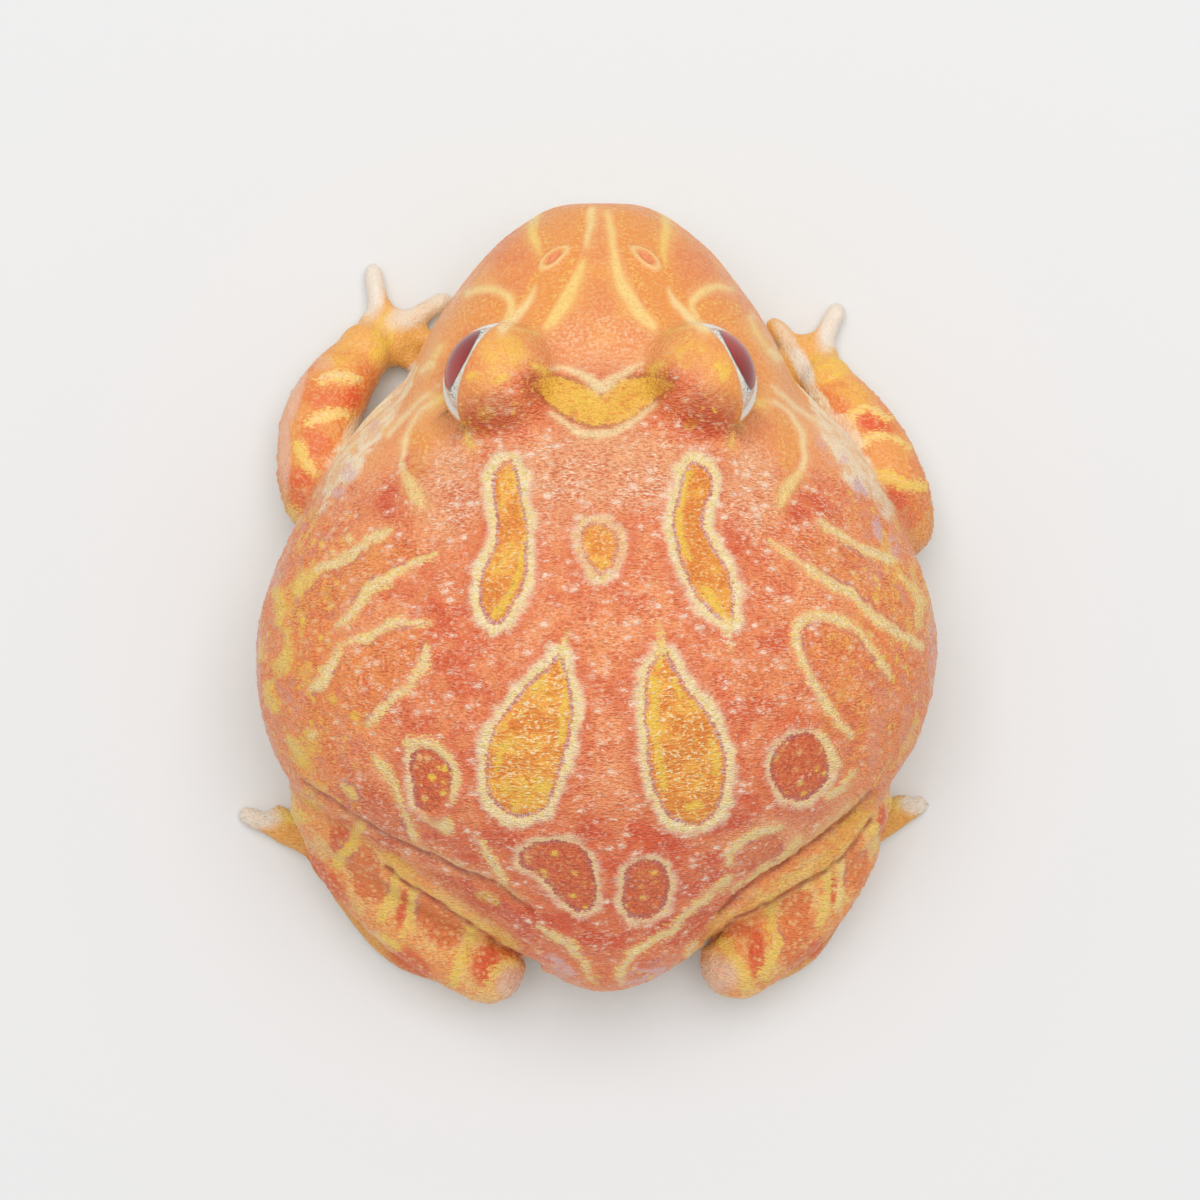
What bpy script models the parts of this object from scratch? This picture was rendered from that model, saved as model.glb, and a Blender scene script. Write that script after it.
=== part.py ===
"""Argentine horned frog, sitting: a life-size display model of the whole living animal.

The frog faces -Y and rests on the plane z = 0, with its midline on x = 0 and +X on its own left.
Its trunk is lofted from a few stations along the body, fused and smoothed as one skin, and then
parted at the neck. Each leg is a chain of lofted lengths between joints that are named points.
Where one length of the animal lies against another, it is cut back to a hairline gap.

Run it with: blender --background --python part.py
"""

import math

import bmesh
import bpy
import numpy as np
from mathutils import Matrix, Vector

MM = 0.001
LEFT, RIGHT = 1, -1

# Driving sizes of the whole animal, in millimetres.
GAP = 0.3
SNOUT_Y = -51.6
VENT_Y = 50.2
NECK_CREST = (-10.5, 46.0)
NECK_THROAT = (-15.0, 0.0)
FLOOR_REACH = 90.0

# Torso stations, front to back: y, x of the midline (it sits a little fuller on its left),
# half width, belly z, z where it is widest, back z.
TORSO_STATIONS = (
    (-34.0, 0.0, 10.0, 12.0, 14.0, 18.0),
    (-28.0, 0.0, 25.0, 3.0, 14.0, 33.0),
    (-20.0, 0.0, 33.4, 0.0, 15.0, 39.5),
    (-10.0, 0.2, 39.3, -1.2, 16.0, 43.8),
    (0.0, 0.3, 43.2, -1.8, 17.0, 46.6),
    (8.0, 0.5, 44.0, -2.0, 17.5, 48.0),
    (17.0, 0.9, 42.0, -2.0, 17.5, 47.2),
    (25.0, 1.2, 37.0, -1.6, 17.0, 44.0),
    (32.0, 0.8, 26.4, -1.2, 16.5, 38.6),
    (39.0, 0.0, 16.8, 0.5, 16.0, 31.5),
    (45.0, -0.8, 11.2, 4.0, 15.5, 24.5),
    (48.4, -0.8, 6.0, 9.0, 15.0, 19.8),
    (VENT_Y, -0.4, 1.8, 12.5, 14.8, 17.0),
)
# Upper head: y, midline, half width at the lip, underside z, z of the lip, crown z.
UPPER_HEAD_STATIONS = (
    (SNOUT_Y, 0.0, 3.0, 16.0, 18.5, 22.0),
    (-48.6, 0.0, 10.2, 15.0, 18.5, 26.8),
    (-45.5, 0.0, 13.9, 14.5, 18.3, 29.8),
    (-40.5, 0.0, 18.0, 14.0, 18.0, 32.8),
    (-35.5, 0.0, 21.4, 13.5, 17.6, 35.6),
    (-30.0, 0.0, 24.2, 13.0, 17.0, 37.6),
    (-24.0, 0.0, 26.7, 12.5, 16.4, 39.4),
    (-18.0, 0.0, 28.8, 12.0, 15.8, 41.6),
    (-9.0, 0.0, 29.0, 12.0, 16.0, 43.2),
    (-2.0, 0.0, 12.0, 14.0, 18.0, 30.0),
)
# Lower jaw and throat: y, midline, half width, chin z, z where it is widest, top z.
LOWER_JAW_STATIONS = (
    (-50.4, 0.0, 2.0, 12.0, 14.0, 17.0),
    (-47.8, 0.0, 9.4, 8.5, 14.0, 19.0),
    (-43.8, 0.0, 13.6, 6.0, 13.5, 20.0),
    (-38.0, 0.0, 18.0, 3.8, 13.0, 20.0),
    (-32.0, 0.0, 23.0, 2.2, 12.5, 20.0),
    (-26.5, 0.2, 28.6, 1.2, 13.0, 21.5),
    (-20.0, 0.4, 32.8, 0.5, 14.0, 26.0),
    (-12.0, 0.4, 33.5, 0.5, 15.0, 28.0),
    (-2.0, 0.0, 20.0, 4.0, 15.0, 24.0),
)

MOUTH_CORNER_Y = -16.5
MOUTH_DEPTH = 1.6
MOUTH_FLARE = 2.0
MOUTH_HALF_HEIGHT = 0.8
LIP_RADIUS = 0.9
LIP_RISE = 1.5

EYE_CENTRE = (13.1, -26.9, 36.8)
EYE_RADIUS = 6.3
LID_THICKNESS = 0.9
LID_RIM_RADIUS = 0.6
EYE_FORWARD_TURN = math.radians(25)
EYE_UPWARD_TURN = math.radians(19)
EYE_OPENING = (6.0, 3.8)

NOSTRIL = (5.5, -42.6, 30.6)
NOSTRIL_AXIS = (0.45, -0.35, 0.82)
NOSTRIL_RIM = (1.9, 1.5, 1.3)
NOSTRIL_HOLE = (0.85, 0.55, 2.0)

# Fore leg points of each side, as distance out from the midline, y and z.
FORE_LEGS = {
    LEFT: {
        "shoulder": (23.0, -15.0, 17.0),
        "elbow": (36.2, -9.6, 8.6),
        "forearm": (36.7, -25.6, 6.8),
        "wrist": (30.8, -35.4, 4.2),
        "finger_tips": ((30.6, -46.8), (20.0, -42.4), (18.6, -36.0), (21.0, -29.6)),
    },
    RIGHT: {
        "shoulder": (23.0, -14.0, 17.0),
        "elbow": (39.8, -6.2, 8.6),
        "forearm": (37.0, -18.4, 6.8),
        "wrist": (29.3, -31.4, 4.2),
        "finger_tips": ((32.2, -41.4), (22.6, -39.2), (19.6, -33.2), (21.6, -27.4)),
    },
}
UPPER_ARM_RADII = ((7.0, 7.0), (6.2, 6.0), (5.6, 5.4))
FOREARM_RADII = ((4.8, 4.6), (5.3, 5.2), (4.9, 4.6), (3.6, 3.2))
PALM_REACH = 4.8
PALM_RADII = (4.0, 4.2, 2.2)
WRIST_RADII = (3.5, 4.0, 3.0)
FINGER_RADII = ((2.1, 1.8), (1.5, 1.45), (1.2, 1.2), (1.3, 1.25))

# Hind leg points of each side, as distance out from the midline, y and z.
HIND_LEGS = {
    LEFT: {
        "hip": (3.6, 39.0, 13.5),
        "thigh": (17.0, 32.6, 15.0),
        "knee": (39.6, 22.8, 12.6),
        "shin": (26.8, 37.8, 9.6),
        "heel": (10.6, 49.5, 6.4),
        "instep": (25.4, 44.0, 3.2),
        "toe_root": (34.4, 32.6, 2.2),
        "toe_tips": ((32.4, 26.4), (36.2, 23.4), (43.6, 26.0), (48.0, 26.4), (43.4, 29.0)),
    },
    RIGHT: {
        "hip": (3.6, 39.0, 13.5),
        "thigh": (16.6, 32.4, 15.0),
        "knee": (37.0, 22.8, 12.6),
        "shin": (26.9, 37.7, 9.6),
        "heel": (14.2, 49.4, 6.4),
        "instep": (25.2, 44.5, 3.2),
        "toe_root": (31.6, 32.2, 2.2),
        "toe_tips": ((30.4, 26.2), (34.2, 22.8), (40.9, 24.5), (43.5, 24.9), (40.0, 27.3)),
    },
}
THIGH_RADII = ((8.0, 8.0), (8.4, 8.8), (7.6, 8.2), (6.4, 6.8))
SHANK_RADII = ((5.6, 6.0), (5.6, 6.0), (5.2, 5.4), (5.0, 4.8))
FOOT_RADII = ((2.6, 2.6), (3.1, 2.6), (3.8, 2.2))
BALL_RADII = (3.9, 3.7, 1.9)
TOE_RADII = ((2.0, 1.6), (1.6, 1.4), (1.25, 1.15), (1.2, 1.1))

# Triangles that each form is thinned to before its neighbours are cut out of it.
TRIANGLES = {
    "torso": 3400,
    "head": 3700,
    "upper_arm": 240,
    "forearm": 300,
    "hand": 760,
    "thigh": 360,
    "shank": 360,
    "foot": 860,
}

# Colour, roughness of each kind of surface.
FINISHES = {
    "back_skin": ((0.62, 0.19, 0.10), 0.45),
    "head_skin": ((0.74, 0.30, 0.13), 0.45),
    "leg_skin": ((0.72, 0.33, 0.12), 0.5),
    "toe_skin": ((0.80, 0.55, 0.38), 0.5),
    "eye": ((0.32, 0.06, 0.06), 0.08),
}


def smooth_value(knots, rows, t):
    """Cubic through the rows at their knots, each slope taken from the two neighbours."""
    knots, rows = np.asarray(knots, float), np.asarray(rows, float)
    slopes = np.gradient(rows, knots, axis=0)
    i = int(np.clip(np.searchsorted(knots, t) - 1, 0, len(knots) - 2))
    span = knots[i + 1] - knots[i]
    u = (t - knots[i]) / span
    start_slope, end_slope = slopes[i] * span, slopes[i + 1] * span
    return (
        (2 * u**3 - 3 * u**2 + 1) * rows[i]
        + (u**3 - 2 * u**2 + u) * start_slope
        + (-2 * u**3 + 3 * u**2) * rows[i + 1]
        + (u**3 - u**2) * end_slope
    )


def angle_at(stations, y):
    """Turn from the front end of a hull at which it has reached this y."""
    front, back = stations[0][0], stations[-1][0]
    return math.acos(1 - 2 * (y - front) / (back - front))


def section(stations, angle):
    """y, midline x, half width, low, widest and high z of a hull at this turn from its front."""
    front, back = stations[0][0], stations[-1][0]
    knots = [angle_at(stations, row[0]) for row in stations]
    y = front + (back - front) * (1 - math.cos(angle)) / 2
    return (y, *smooth_value(knots, [row[1:] for row in stations], angle))


def new_object(name, mesh):
    made = bpy.data.objects.new(name, mesh)
    bpy.context.scene.collection.objects.link(made)
    return made


def object_of(name, points, faces):
    """A mesh object from points in millimetres, with its faces turned outwards."""
    mesh = bpy.data.meshes.new(name)
    mesh.from_pydata([Vector(p) * MM for p in points], [], faces)
    bm = bmesh.new()
    bm.from_mesh(mesh)
    bmesh.ops.recalc_face_normals(bm, faces=bm.faces)
    bm.to_mesh(mesh)
    bm.free()
    return new_object(name, mesh)


def skin_over(name, first, rings, last):
    """Closed loft over rings of equal count, ending in a point at each end."""
    count = len(rings[0])
    points = [first] + [p for ring in rings for p in ring] + [last]
    faces = []
    for k in range(count):
        after = (k + 1) % count
        faces.append((0, 1 + k, 1 + after))
        for r in range(len(rings) - 1):
            a, b = 1 + r * count, 1 + (r + 1) * count
            faces.append((a + k, b + k, b + after, a + after))
        a = 1 + (len(rings) - 1) * count
        faces.append((a + k, len(points) - 1, a + after))
    return object_of(name, points, faces)


def hull(name, stations, upper_power=2.2, lower_power=2.2, rings=44, around=56):
    """Trunk form: superellipse sections between stations, closing round at both ends."""
    made = []
    for i in range(1, rings):
        angle = math.pi * i / rings
        y, midline, wide, low, middle, high = section(stations, angle)
        closing = min(1.0, math.sin(angle) / math.sin(math.pi * 2 / rings))
        ring = []
        for k in range(around):
            turn = 2 * math.pi * k / around
            c, s = math.cos(turn), math.sin(turn)
            power = upper_power if s >= 0 else lower_power
            reach = high - middle if s >= 0 else middle - low
            x = midline + wide * closing * math.copysign(abs(c) ** (2 / power), c)
            z = middle + closing * reach * math.copysign(abs(s) ** (2 / power), s)
            ring.append((x, y, z))
        made.append(ring)
    tips = []
    for angle in (0.0, math.pi):
        y, midline, _, _, middle, _ = section(stations, angle)
        tips.append((midline, y, middle))
    return skin_over(name, tips[0], made, tips[1])


def limb(name, path, radii, sides=20, rings=26):
    """A length of limb along a smooth path, with round ends. Each radius is (across, up)."""
    path = [Vector(p) for p in path]
    lengths = [0.0]
    for a, b in zip(path, path[1:]):
        lengths.append(lengths[-1] + (b - a).length)
    total = lengths[-1]
    radius_knots = np.linspace(0.0, total, len(radii))
    made = []
    for i in range(1, rings):
        along = total * (1 - math.cos(math.pi * i / rings)) / 2
        centre = Vector(smooth_value(lengths, path, along))
        ahead = Vector(smooth_value(lengths, path, min(total, along + 0.02 * total)))
        behind = Vector(smooth_value(lengths, path, max(0.0, along - 0.02 * total)))
        forward = (ahead - behind).normalized()
        across, up = smooth_value(radius_knots, radii, along)
        to_end = min(along, total - along)
        closing = math.sqrt(1 - max(0.0, 1 - to_end / across) ** 2)
        side = forward.cross(Vector((0, 0, 1))).normalized()
        top = side.cross(forward).normalized()
        ring = []
        for k in range(sides):
            turn = 2 * math.pi * k / sides
            out = side * (across * math.cos(turn)) + top * (up * math.sin(turn))
            ring.append(centre + closing * out)
        made.append(ring)
    return skin_over(name, path[0], made, path[-1])


def ellipsoid(name, centre, radii, facing=(0, 0, 1), segments=28, rings=16):
    """An ellipsoid in millimetres, its third radius lying along facing."""
    bm = bmesh.new()
    bmesh.ops.create_uvsphere(bm, u_segments=segments, v_segments=rings, radius=1.0)
    turn = Vector((0, 0, 1)).rotation_difference(Vector(facing)).to_matrix().to_4x4()
    stretch = Matrix.Diagonal((*(r * MM for r in radii), 1.0))
    bm.transform(Matrix.Translation(Vector(centre) * MM) @ turn @ stretch)
    mesh = bpy.data.meshes.new(name)
    bm.to_mesh(mesh)
    bm.free()
    return new_object(name, mesh)


def tube(name, path, radius, ring=False):
    """A round tube of one radius along a path in millimetres, closed into a ring or capped."""
    curve = bpy.data.curves.new(name, "CURVE")
    curve.dimensions = "3D"
    curve.bevel_depth = radius * MM
    curve.bevel_resolution = 3
    curve.use_fill_caps = not ring
    spline = curve.splines.new("POLY")
    spline.points.add(len(path) - 1)
    spline.use_cyclic_u = ring
    for point, place in zip(spline.points, path):
        point.co = (*(Vector(place) * MM), 1.0)
    guide = new_object(name + "_path", curve)
    graph = bpy.context.evaluated_depsgraph_get()
    mesh = bpy.data.meshes.new_from_object(guide.evaluated_get(graph), depsgraph=graph)
    remove(guide)
    return new_object(name, mesh)


def remove(*objects):
    for obj in objects:
        bpy.data.objects.remove(obj)


def settle(obj):
    """Applies the object's modifiers to its mesh."""
    graph = bpy.context.evaluated_depsgraph_get()
    mesh = bpy.data.meshes.new_from_object(obj.evaluated_get(graph), depsgraph=graph)
    obj.modifiers.clear()
    old, obj.data = obj.data, mesh
    bpy.data.meshes.remove(old)
    return obj


def copy_of(obj, name):
    return new_object(name, obj.data.copy())


def fused(name, pieces, voxel=0.6, smoothing=6):
    """One smooth closed skin over the pieces, which go."""
    bm = bmesh.new()
    for piece in pieces:
        bm.from_mesh(piece.data)
    mesh = bpy.data.meshes.new(name)
    bm.to_mesh(mesh)
    bm.free()
    remove(*pieces)
    skin = new_object(name, mesh)
    remesh = skin.modifiers.new("remesh", "REMESH")
    remesh.mode = "VOXEL"
    remesh.voxel_size = voxel * MM
    smooth = skin.modifiers.new("smooth", "SMOOTH")
    smooth.factor = 0.5
    smooth.iterations = smoothing
    return settle(skin)


def thinned(obj, triangles):
    """Collapses edges until about this many triangles are left."""
    obj.data.calc_loop_triangles()
    thin = obj.modifiers.new("thin", "DECIMATE")
    thin.ratio = min(1.0, triangles / len(obj.data.loop_triangles))
    thin.use_collapse_triangulate = True
    return settle(obj)


def cut(obj, cutter, operation="DIFFERENCE"):
    """Applies one Boolean with a cutter, which goes."""
    cut_by(obj, cutter, operation)
    remove(cutter)
    return obj


def cut_by(obj, cutter, operation="DIFFERENCE"):
    """Applies one Boolean with a cutter, which stays."""
    modifier = obj.modifiers.new("cut", "BOOLEAN")
    modifier.operation = operation
    modifier.solver = "EXACT"
    modifier.object = cutter
    return settle(obj)


def grown(form):
    """A copy of an uncut form, larger by the gap all round, to cut its neighbours back with."""
    larger = copy_of(form, "grown_" + form.name)
    grow = larger.modifiers.new("grow", "DISPLACE")
    grow.strength = GAP * MM
    grow.mid_level = 0.0
    return settle(larger)


def cut_back(obj, *larger):
    """Cuts the object back from neighbours that are already grown by the gap."""
    for neighbour in larger:
        cut_by(obj, neighbour)
    return largest(obj)


def largest(obj):
    """Keeps only the largest closed surface of the object."""
    bm = bmesh.new()
    bm.from_mesh(obj.data)
    left, shells = set(bm.verts), []
    while left:
        shell, edge = set(), [left.pop()]
        while edge:
            vert = edge.pop()
            shell.add(vert)
            near = {e.other_vert(vert) for e in vert.link_edges} & left
            left -= near
            edge.extend(near)
        shells.append(shell)
    shells.sort(key=len, reverse=True)
    bmesh.ops.delete(bm, geom=[v for s in shells[1:] for v in s], context="VERTS")
    bm.to_mesh(obj.data)
    bm.free()
    return obj


def prism(name, outline, low, high):
    """A closed prism from an outline in the YZ plane, between two x values."""
    count = len(outline)
    points = [(x, y, z) for x in (low, high) for y, z in outline]
    faces = [tuple(range(count)), tuple(range(2 * count - 1, count - 1, -1))]
    faces += [(k, (k + 1) % count, count + (k + 1) % count, count + k) for k in range(count)]
    return object_of(name, points, faces)


def neck_side(name, front):
    """Half space in front of the neck cut, or behind it, as a large prism."""
    away = -FLOOR_REACH if front else FLOOR_REACH
    shift = 0.0 if front else GAP
    (crest_y, crest_z), (throat_y, throat_z) = NECK_CREST, NECK_THROAT
    slope = (crest_y - throat_y) / (crest_z - throat_z)
    low, high = -FLOOR_REACH, FLOOR_REACH
    outline = (
        (throat_y + slope * (low - throat_z) + shift, low),
        (throat_y + slope * (high - throat_z) + shift, high),
        (away, high),
        (away, low),
    )
    return prism(name, outline, -FLOOR_REACH, FLOOR_REACH)


def eye_axis(side):
    ahead, up = EYE_FORWARD_TURN, EYE_UPWARD_TURN
    return Vector((side * math.cos(ahead) * math.cos(up), -math.sin(ahead) * math.cos(up), math.sin(up)))


def mirrored(side, point):
    return Vector((side * point[0], *point[1:]))


def lid_outline(side, grow=0.0):
    """Almond outline of the gap between the lids, in the plane through the eye's centre."""
    centre, axis = mirrored(side, EYE_CENTRE), eye_axis(side)
    long_way = Vector((0, 0, 1)).cross(axis).normalized()
    high_way = axis.cross(long_way)
    half_long, half_high = EYE_OPENING
    count = 28
    outline = []
    for k in range(count):
        turn = 2 * math.pi * k / count
        across = (half_long + grow) * math.cos(turn)
        up = (half_high + grow) * math.copysign(abs(math.sin(turn)) ** 1.25, math.sin(turn))
        outline.append(centre + long_way * across + high_way * up)
    return outline


def lid_opening(name, side):
    """Almond prism along the eye's axis, from inside the ball to well outside the lids."""
    axis = eye_axis(side)
    outline = lid_outline(side)
    count = len(outline)
    points = [p + axis * EYE_RADIUS * 0.1 for p in outline] + [p + axis * EYE_RADIUS * 2 for p in outline]
    faces = [tuple(range(count)), tuple(range(2 * count - 1, count - 1, -1))]
    faces += [(k, (k + 1) % count, count + (k + 1) % count, count + k) for k in range(count)]
    return object_of(name, points, faces)


def lid_rim(name, side):
    """Raised edge of the lids: a thin ring that lies on the ball around their opening."""
    centre, axis = mirrored(side, EYE_CENTRE), eye_axis(side)
    reach = EYE_RADIUS + LID_THICKNESS
    path = []
    for point in lid_outline(side, grow=LID_RIM_RADIUS):
        out = point - centre
        path.append(point + axis * math.sqrt(max(0.0, reach**2 - out.length_squared)))
    return tube(name, path, LID_RIM_RADIUS, ring=True)


def mouth_path():
    """Points along the lip from the left corner of the mouth, round the snout, to the right."""
    corner = angle_at(UPPER_HEAD_STATIONS, MOUTH_CORNER_Y)
    left = []
    for angle in np.linspace(0.0, corner, 22):
        y, _, wide, _, lip_z, _ = section(UPPER_HEAD_STATIONS, float(angle))
        left.append(Vector((wide * min(1.0, angle / corner * 8), y, lip_z)))
    return left[:0:-1] + [left[0]] + [Vector((-p.x, p.y, p.z)) for p in left[1:]]


def outward(path, i):
    """Level direction away from the head, square to the path of the lip at its point i."""
    along = path[min(i + 1, len(path) - 1)] - path[max(i - 1, 0)]
    out = Vector((-along.y, along.x, 0)).normalized()
    return out if out.dot(path[i] - Vector((0, MOUTH_CORNER_Y, 0))) > 0 else -out


def mouth_cutter(name):
    """Thin wedge all along the lip, which fades out at the two corners of the mouth."""
    path = mouth_path()
    last = len(path) - 1
    points, faces = [], []
    for i, here in enumerate(path):
        out, rise = outward(path, i), Vector((0, 0, MOUTH_HALF_HEIGHT))
        depth = MOUTH_DEPTH * min(1.0, 0.15 + 4.0 * min(i, last - i) / last)
        points += [here - out * depth, here + out * MOUTH_FLARE + rise, here + out * MOUTH_FLARE - rise]
    for i in range(last):
        a, b = 3 * i, 3 * (i + 1)
        faces += [(a + k, a + (k + 1) % 3, b + (k + 1) % 3, b + k) for k in range(3)]
    faces += [(0, 1, 2), (3 * last + 2, 3 * last + 1, 3 * last)]
    return object_of(name, points, faces)


def lip(name, rise, inset):
    """One lip: a slender roll along the mouth, this far above its line and in from its edge."""
    path = mouth_path()
    route = [p - outward(path, i) * inset + Vector((0, 0, rise)) for i, p in enumerate(path)]
    return tube(name, route, LIP_RADIUS)


def trunk():
    """Torso and head as one smooth skin, with the lids' domes, the lips and the nostrils' rims."""
    bulk = [
        hull("torso_form", TORSO_STATIONS, upper_power=2.1, lower_power=2.4),
        hull("upper_head_form", UPPER_HEAD_STATIONS, upper_power=2.5, lower_power=2.0),
        hull("lower_jaw_form", LOWER_JAW_STATIONS, upper_power=2.2, lower_power=2.3),
    ]
    pieces = [fused("bulk", bulk, voxel=0.8, smoothing=16)]
    pieces += [lip("upper_lip", LIP_RISE, 0.9), lip("lower_lip", -LIP_RISE, 1.3)]
    dome = EYE_RADIUS + LID_THICKNESS
    for side in (LEFT, RIGHT):
        centre = mirrored(side, EYE_CENTRE) + Vector((-0.4 * side, 0.3, 0.3))
        pieces.append(ellipsoid("lid_dome", centre, (dome, dome + 0.4, dome + 0.3)))
        pieces.append(lid_rim("lid_rim", side))
        rim_axis = mirrored(side, NOSTRIL_AXIS)
        pieces.append(ellipsoid("nostril_rim", mirrored(side, NOSTRIL), NOSTRIL_RIM, rim_axis))
    return fused("trunk", pieces, voxel=0.6, smoothing=4)


def torso_of(whole):
    torso = thinned(copy_of(whole, "torso"), TRIANGLES["torso"])
    return cut(torso, neck_side("behind_neck", front=False), "INTERSECT")


def head_of(whole):
    """Head with its mouth, nostrils and the lids' openings over the eye sockets."""
    head = copy_of(whole, "head")
    head = cut(head, neck_side("before_neck", front=True), "INTERSECT")
    head = thinned(head, TRIANGLES["head"])
    head = cut(head, neck_side("before_neck_again", front=True), "INTERSECT")
    cut(head, mouth_cutter("mouth"))
    for side in (LEFT, RIGHT):
        socket = [EYE_RADIUS + GAP] * 3
        cut(head, ellipsoid("socket", mirrored(side, EYE_CENTRE), socket, segments=20, rings=12))
        cut(head, lid_opening("lid_opening", side))
        hole = mirrored(side, NOSTRIL) + mirrored(side, NOSTRIL_AXIS) * NOSTRIL_RIM[2]
        cut(head, ellipsoid("nostril", hole, NOSTRIL_HOLE, mirrored(side, NOSTRIL_AXIS), 10, 8))
    return largest(head)


def eye_of(side, name):
    return ellipsoid(name, mirrored(side, EYE_CENTRE), [EYE_RADIUS] * 3, eye_axis(side), 22, 13)


def bent(start, end, outward):
    """Point half way between two joints, moved by this offset."""
    return (Vector(start) + Vector(end)) / 2 + Vector(outward)


def plain_limb(name, path, radii, triangles):
    """A length of limb as one even skin of about this many triangles."""
    return thinned(fused(name, [limb(name + "_form", path, radii)]), triangles)


def digits(root, tips, radii, lift, reach):
    """One tapering digit to each tip, fanned from the root, with its last joint on the floor."""
    pieces = []
    for tip_x, tip_y in tips:
        tip = Vector((tip_x, tip_y, radii[-1][1] * 0.8))
        toward = Vector((tip.x - root.x, tip.y - root.y, 0))
        knuckle = root + toward.normalized() * min(reach, 0.4 * toward.length)
        knuckle.z = lift
        middle = bent(knuckle, tip, (0, 0, 0.35))
        pieces.append(limb("digit", (root, knuckle, middle, tip), radii, sides=12, rings=18))
    return pieces


def fore_leg(side, body):
    """Upper arm, forearm and hand of one side, each cut back from what it lies against."""
    joints = FORE_LEGS[side]
    names = ("shoulder", "elbow", "forearm", "wrist")
    shoulder, elbow, middle, wrist = (mirrored(side, joints[k]) for k in names)
    tips = [(side * x, y) for x, y in joints["finger_tips"]]
    word = "left" if side == LEFT else "right"

    arm_end = elbow.lerp(middle, 0.15) + Vector((0, 0, 0.6))
    arm_path = (shoulder, bent(shoulder, arm_end, (0, 0, 1.0)), arm_end)
    palm = Vector((*wrist.lerp(Vector((*tips[1], 0)), 0.2).xy, 2.4))
    hand_pieces = digits(Vector((palm.x, palm.y, 2.2)), tips, FINGER_RADII, 2.0, PALM_REACH)
    hand_pieces.append(ellipsoid("palm", palm, PALM_RADII))
    hand_pieces.append(ellipsoid("wrist", wrist.lerp(middle, 0.12), WRIST_RADII))

    upper_arm = plain_limb("upper_arm_" + word, arm_path, UPPER_ARM_RADII, TRIANGLES["upper_arm"])
    forearm = plain_limb("forearm_" + word, (elbow, middle, wrist), FOREARM_RADII, TRIANGLES["forearm"])
    hand = thinned(fused("hand_" + word, hand_pieces, voxel=0.4, smoothing=4), TRIANGLES["hand"])
    around_arm, around_forearm = grown(upper_arm), grown(forearm)
    cut_back(upper_arm, body)
    cut_back(forearm, body, around_arm)
    cut_back(hand, body, around_forearm)
    remove(around_arm, around_forearm)
    return [upper_arm, forearm, hand]


def hind_leg(side, body):
    """Thigh, shank and foot of one side, folded against the body and each other."""
    joints = HIND_LEGS[side]
    names = ("hip", "thigh", "knee", "shin", "heel", "instep", "toe_root")
    hip, middle, knee, shin, heel, instep, toe_root = (mirrored(side, joints[k]) for k in names)
    tips = [(side * x, y) for x, y in joints["toe_tips"]]
    word = "left" if side == LEFT else "right"

    under_knee = knee + Vector((-3.6 * side, 2.6, -1.6))
    ankle = Vector((heel.x + side * 3.0, heel.y - 1.6, 3.2))
    foot_pieces = digits(toe_root, tips, TOE_RADII, 1.8, PALM_REACH)
    foot_pieces.append(limb("tarsus", (ankle, instep, toe_root), FOOT_RADII))
    foot_pieces.append(ellipsoid("ball_of_foot", (toe_root.x, toe_root.y, 2.0), BALL_RADII))

    thigh = plain_limb("thigh_" + word, (hip, middle, knee), THIGH_RADII, TRIANGLES["thigh"])
    shank = plain_limb("shank_" + word, (under_knee, shin, heel), SHANK_RADII, TRIANGLES["shank"])
    foot = thinned(fused("foot_" + word, foot_pieces, voxel=0.4, smoothing=4), TRIANGLES["foot"])
    around_thigh, around_shank = grown(thigh), grown(shank)
    cut_back(thigh, body)
    cut_back(shank, body, around_thigh)
    cut_back(foot, body, around_thigh, around_shank)
    remove(around_thigh, around_shank)
    return [thigh, shank, foot]


def stand_on_floor(obj):
    """Cuts away whatever reaches below the floor, which leaves the flats that it rests on."""
    reach = FLOOR_REACH
    outline = ((-reach, -reach), (reach, -reach), (reach, 0.0), (-reach, 0.0))
    return largest(cut(obj, prism("below_floor", outline, -reach, reach)))


def finish(obj, kind):
    """Gives the object a material of its own, with the colour and roughness of its kind."""
    colour, roughness = FINISHES[kind]
    material = bpy.data.materials.new(obj.name)
    material.use_nodes = True
    shader = material.node_tree.nodes["Principled BSDF"]
    shader.inputs["Base Color"].default_value = (*colour, 1.0)
    shader.inputs["Roughness"].default_value = roughness
    shader.inputs["Metallic"].default_value = 0.0
    obj.data.materials.clear()
    obj.data.materials.append(material)
    obj.data.shade_smooth()


def main():
    for obj in list(bpy.data.objects):
        bpy.data.objects.remove(obj)
    whole = trunk()
    torso, head = torso_of(whole), head_of(whole)
    body = grown(thinned(whole, TRIANGLES["torso"] + TRIANGLES["head"]))
    legs = []
    for side in (LEFT, RIGHT):
        legs += fore_leg(side, body) + hind_leg(side, body)
    remove(whole, body)
    eyes = [eye_of(LEFT, "eye_left"), eye_of(RIGHT, "eye_right")]
    for obj in (torso, head, *legs):
        stand_on_floor(obj)
    finish(torso, "back_skin")
    finish(head, "head_skin")
    for leg in legs:
        finish(leg, "toe_skin" if leg.name.startswith(("hand", "foot")) else "leg_skin")
    for eye in eyes:
        finish(eye, "eye")


if __name__ == "__main__":
    main()
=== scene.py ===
"""Argentine horned frog, dressed: one patterned skin over the whole animal, and its two eyes.

The skin is grown over the solids of the frame, smoothed, and sculpted in code with lids, lips,
nostrils, folds, wrinkles and warts. Its markings are chains of discs on the picture that the
camera sees. They are laid on the skin through that camera, and carried on round its flanks.

The frog faces -Y, with +X on its own left and +Z up. Sizes are in millimetres unless said.
"""

import itertools
import logging
import math
from collections.abc import Mapping, Sequence
from dataclasses import dataclass, field
from enum import Enum

import bmesh
import bpy
import numpy as np
from mathutils import Matrix, Vector
from mathutils.bvhtree import BVHTree


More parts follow.
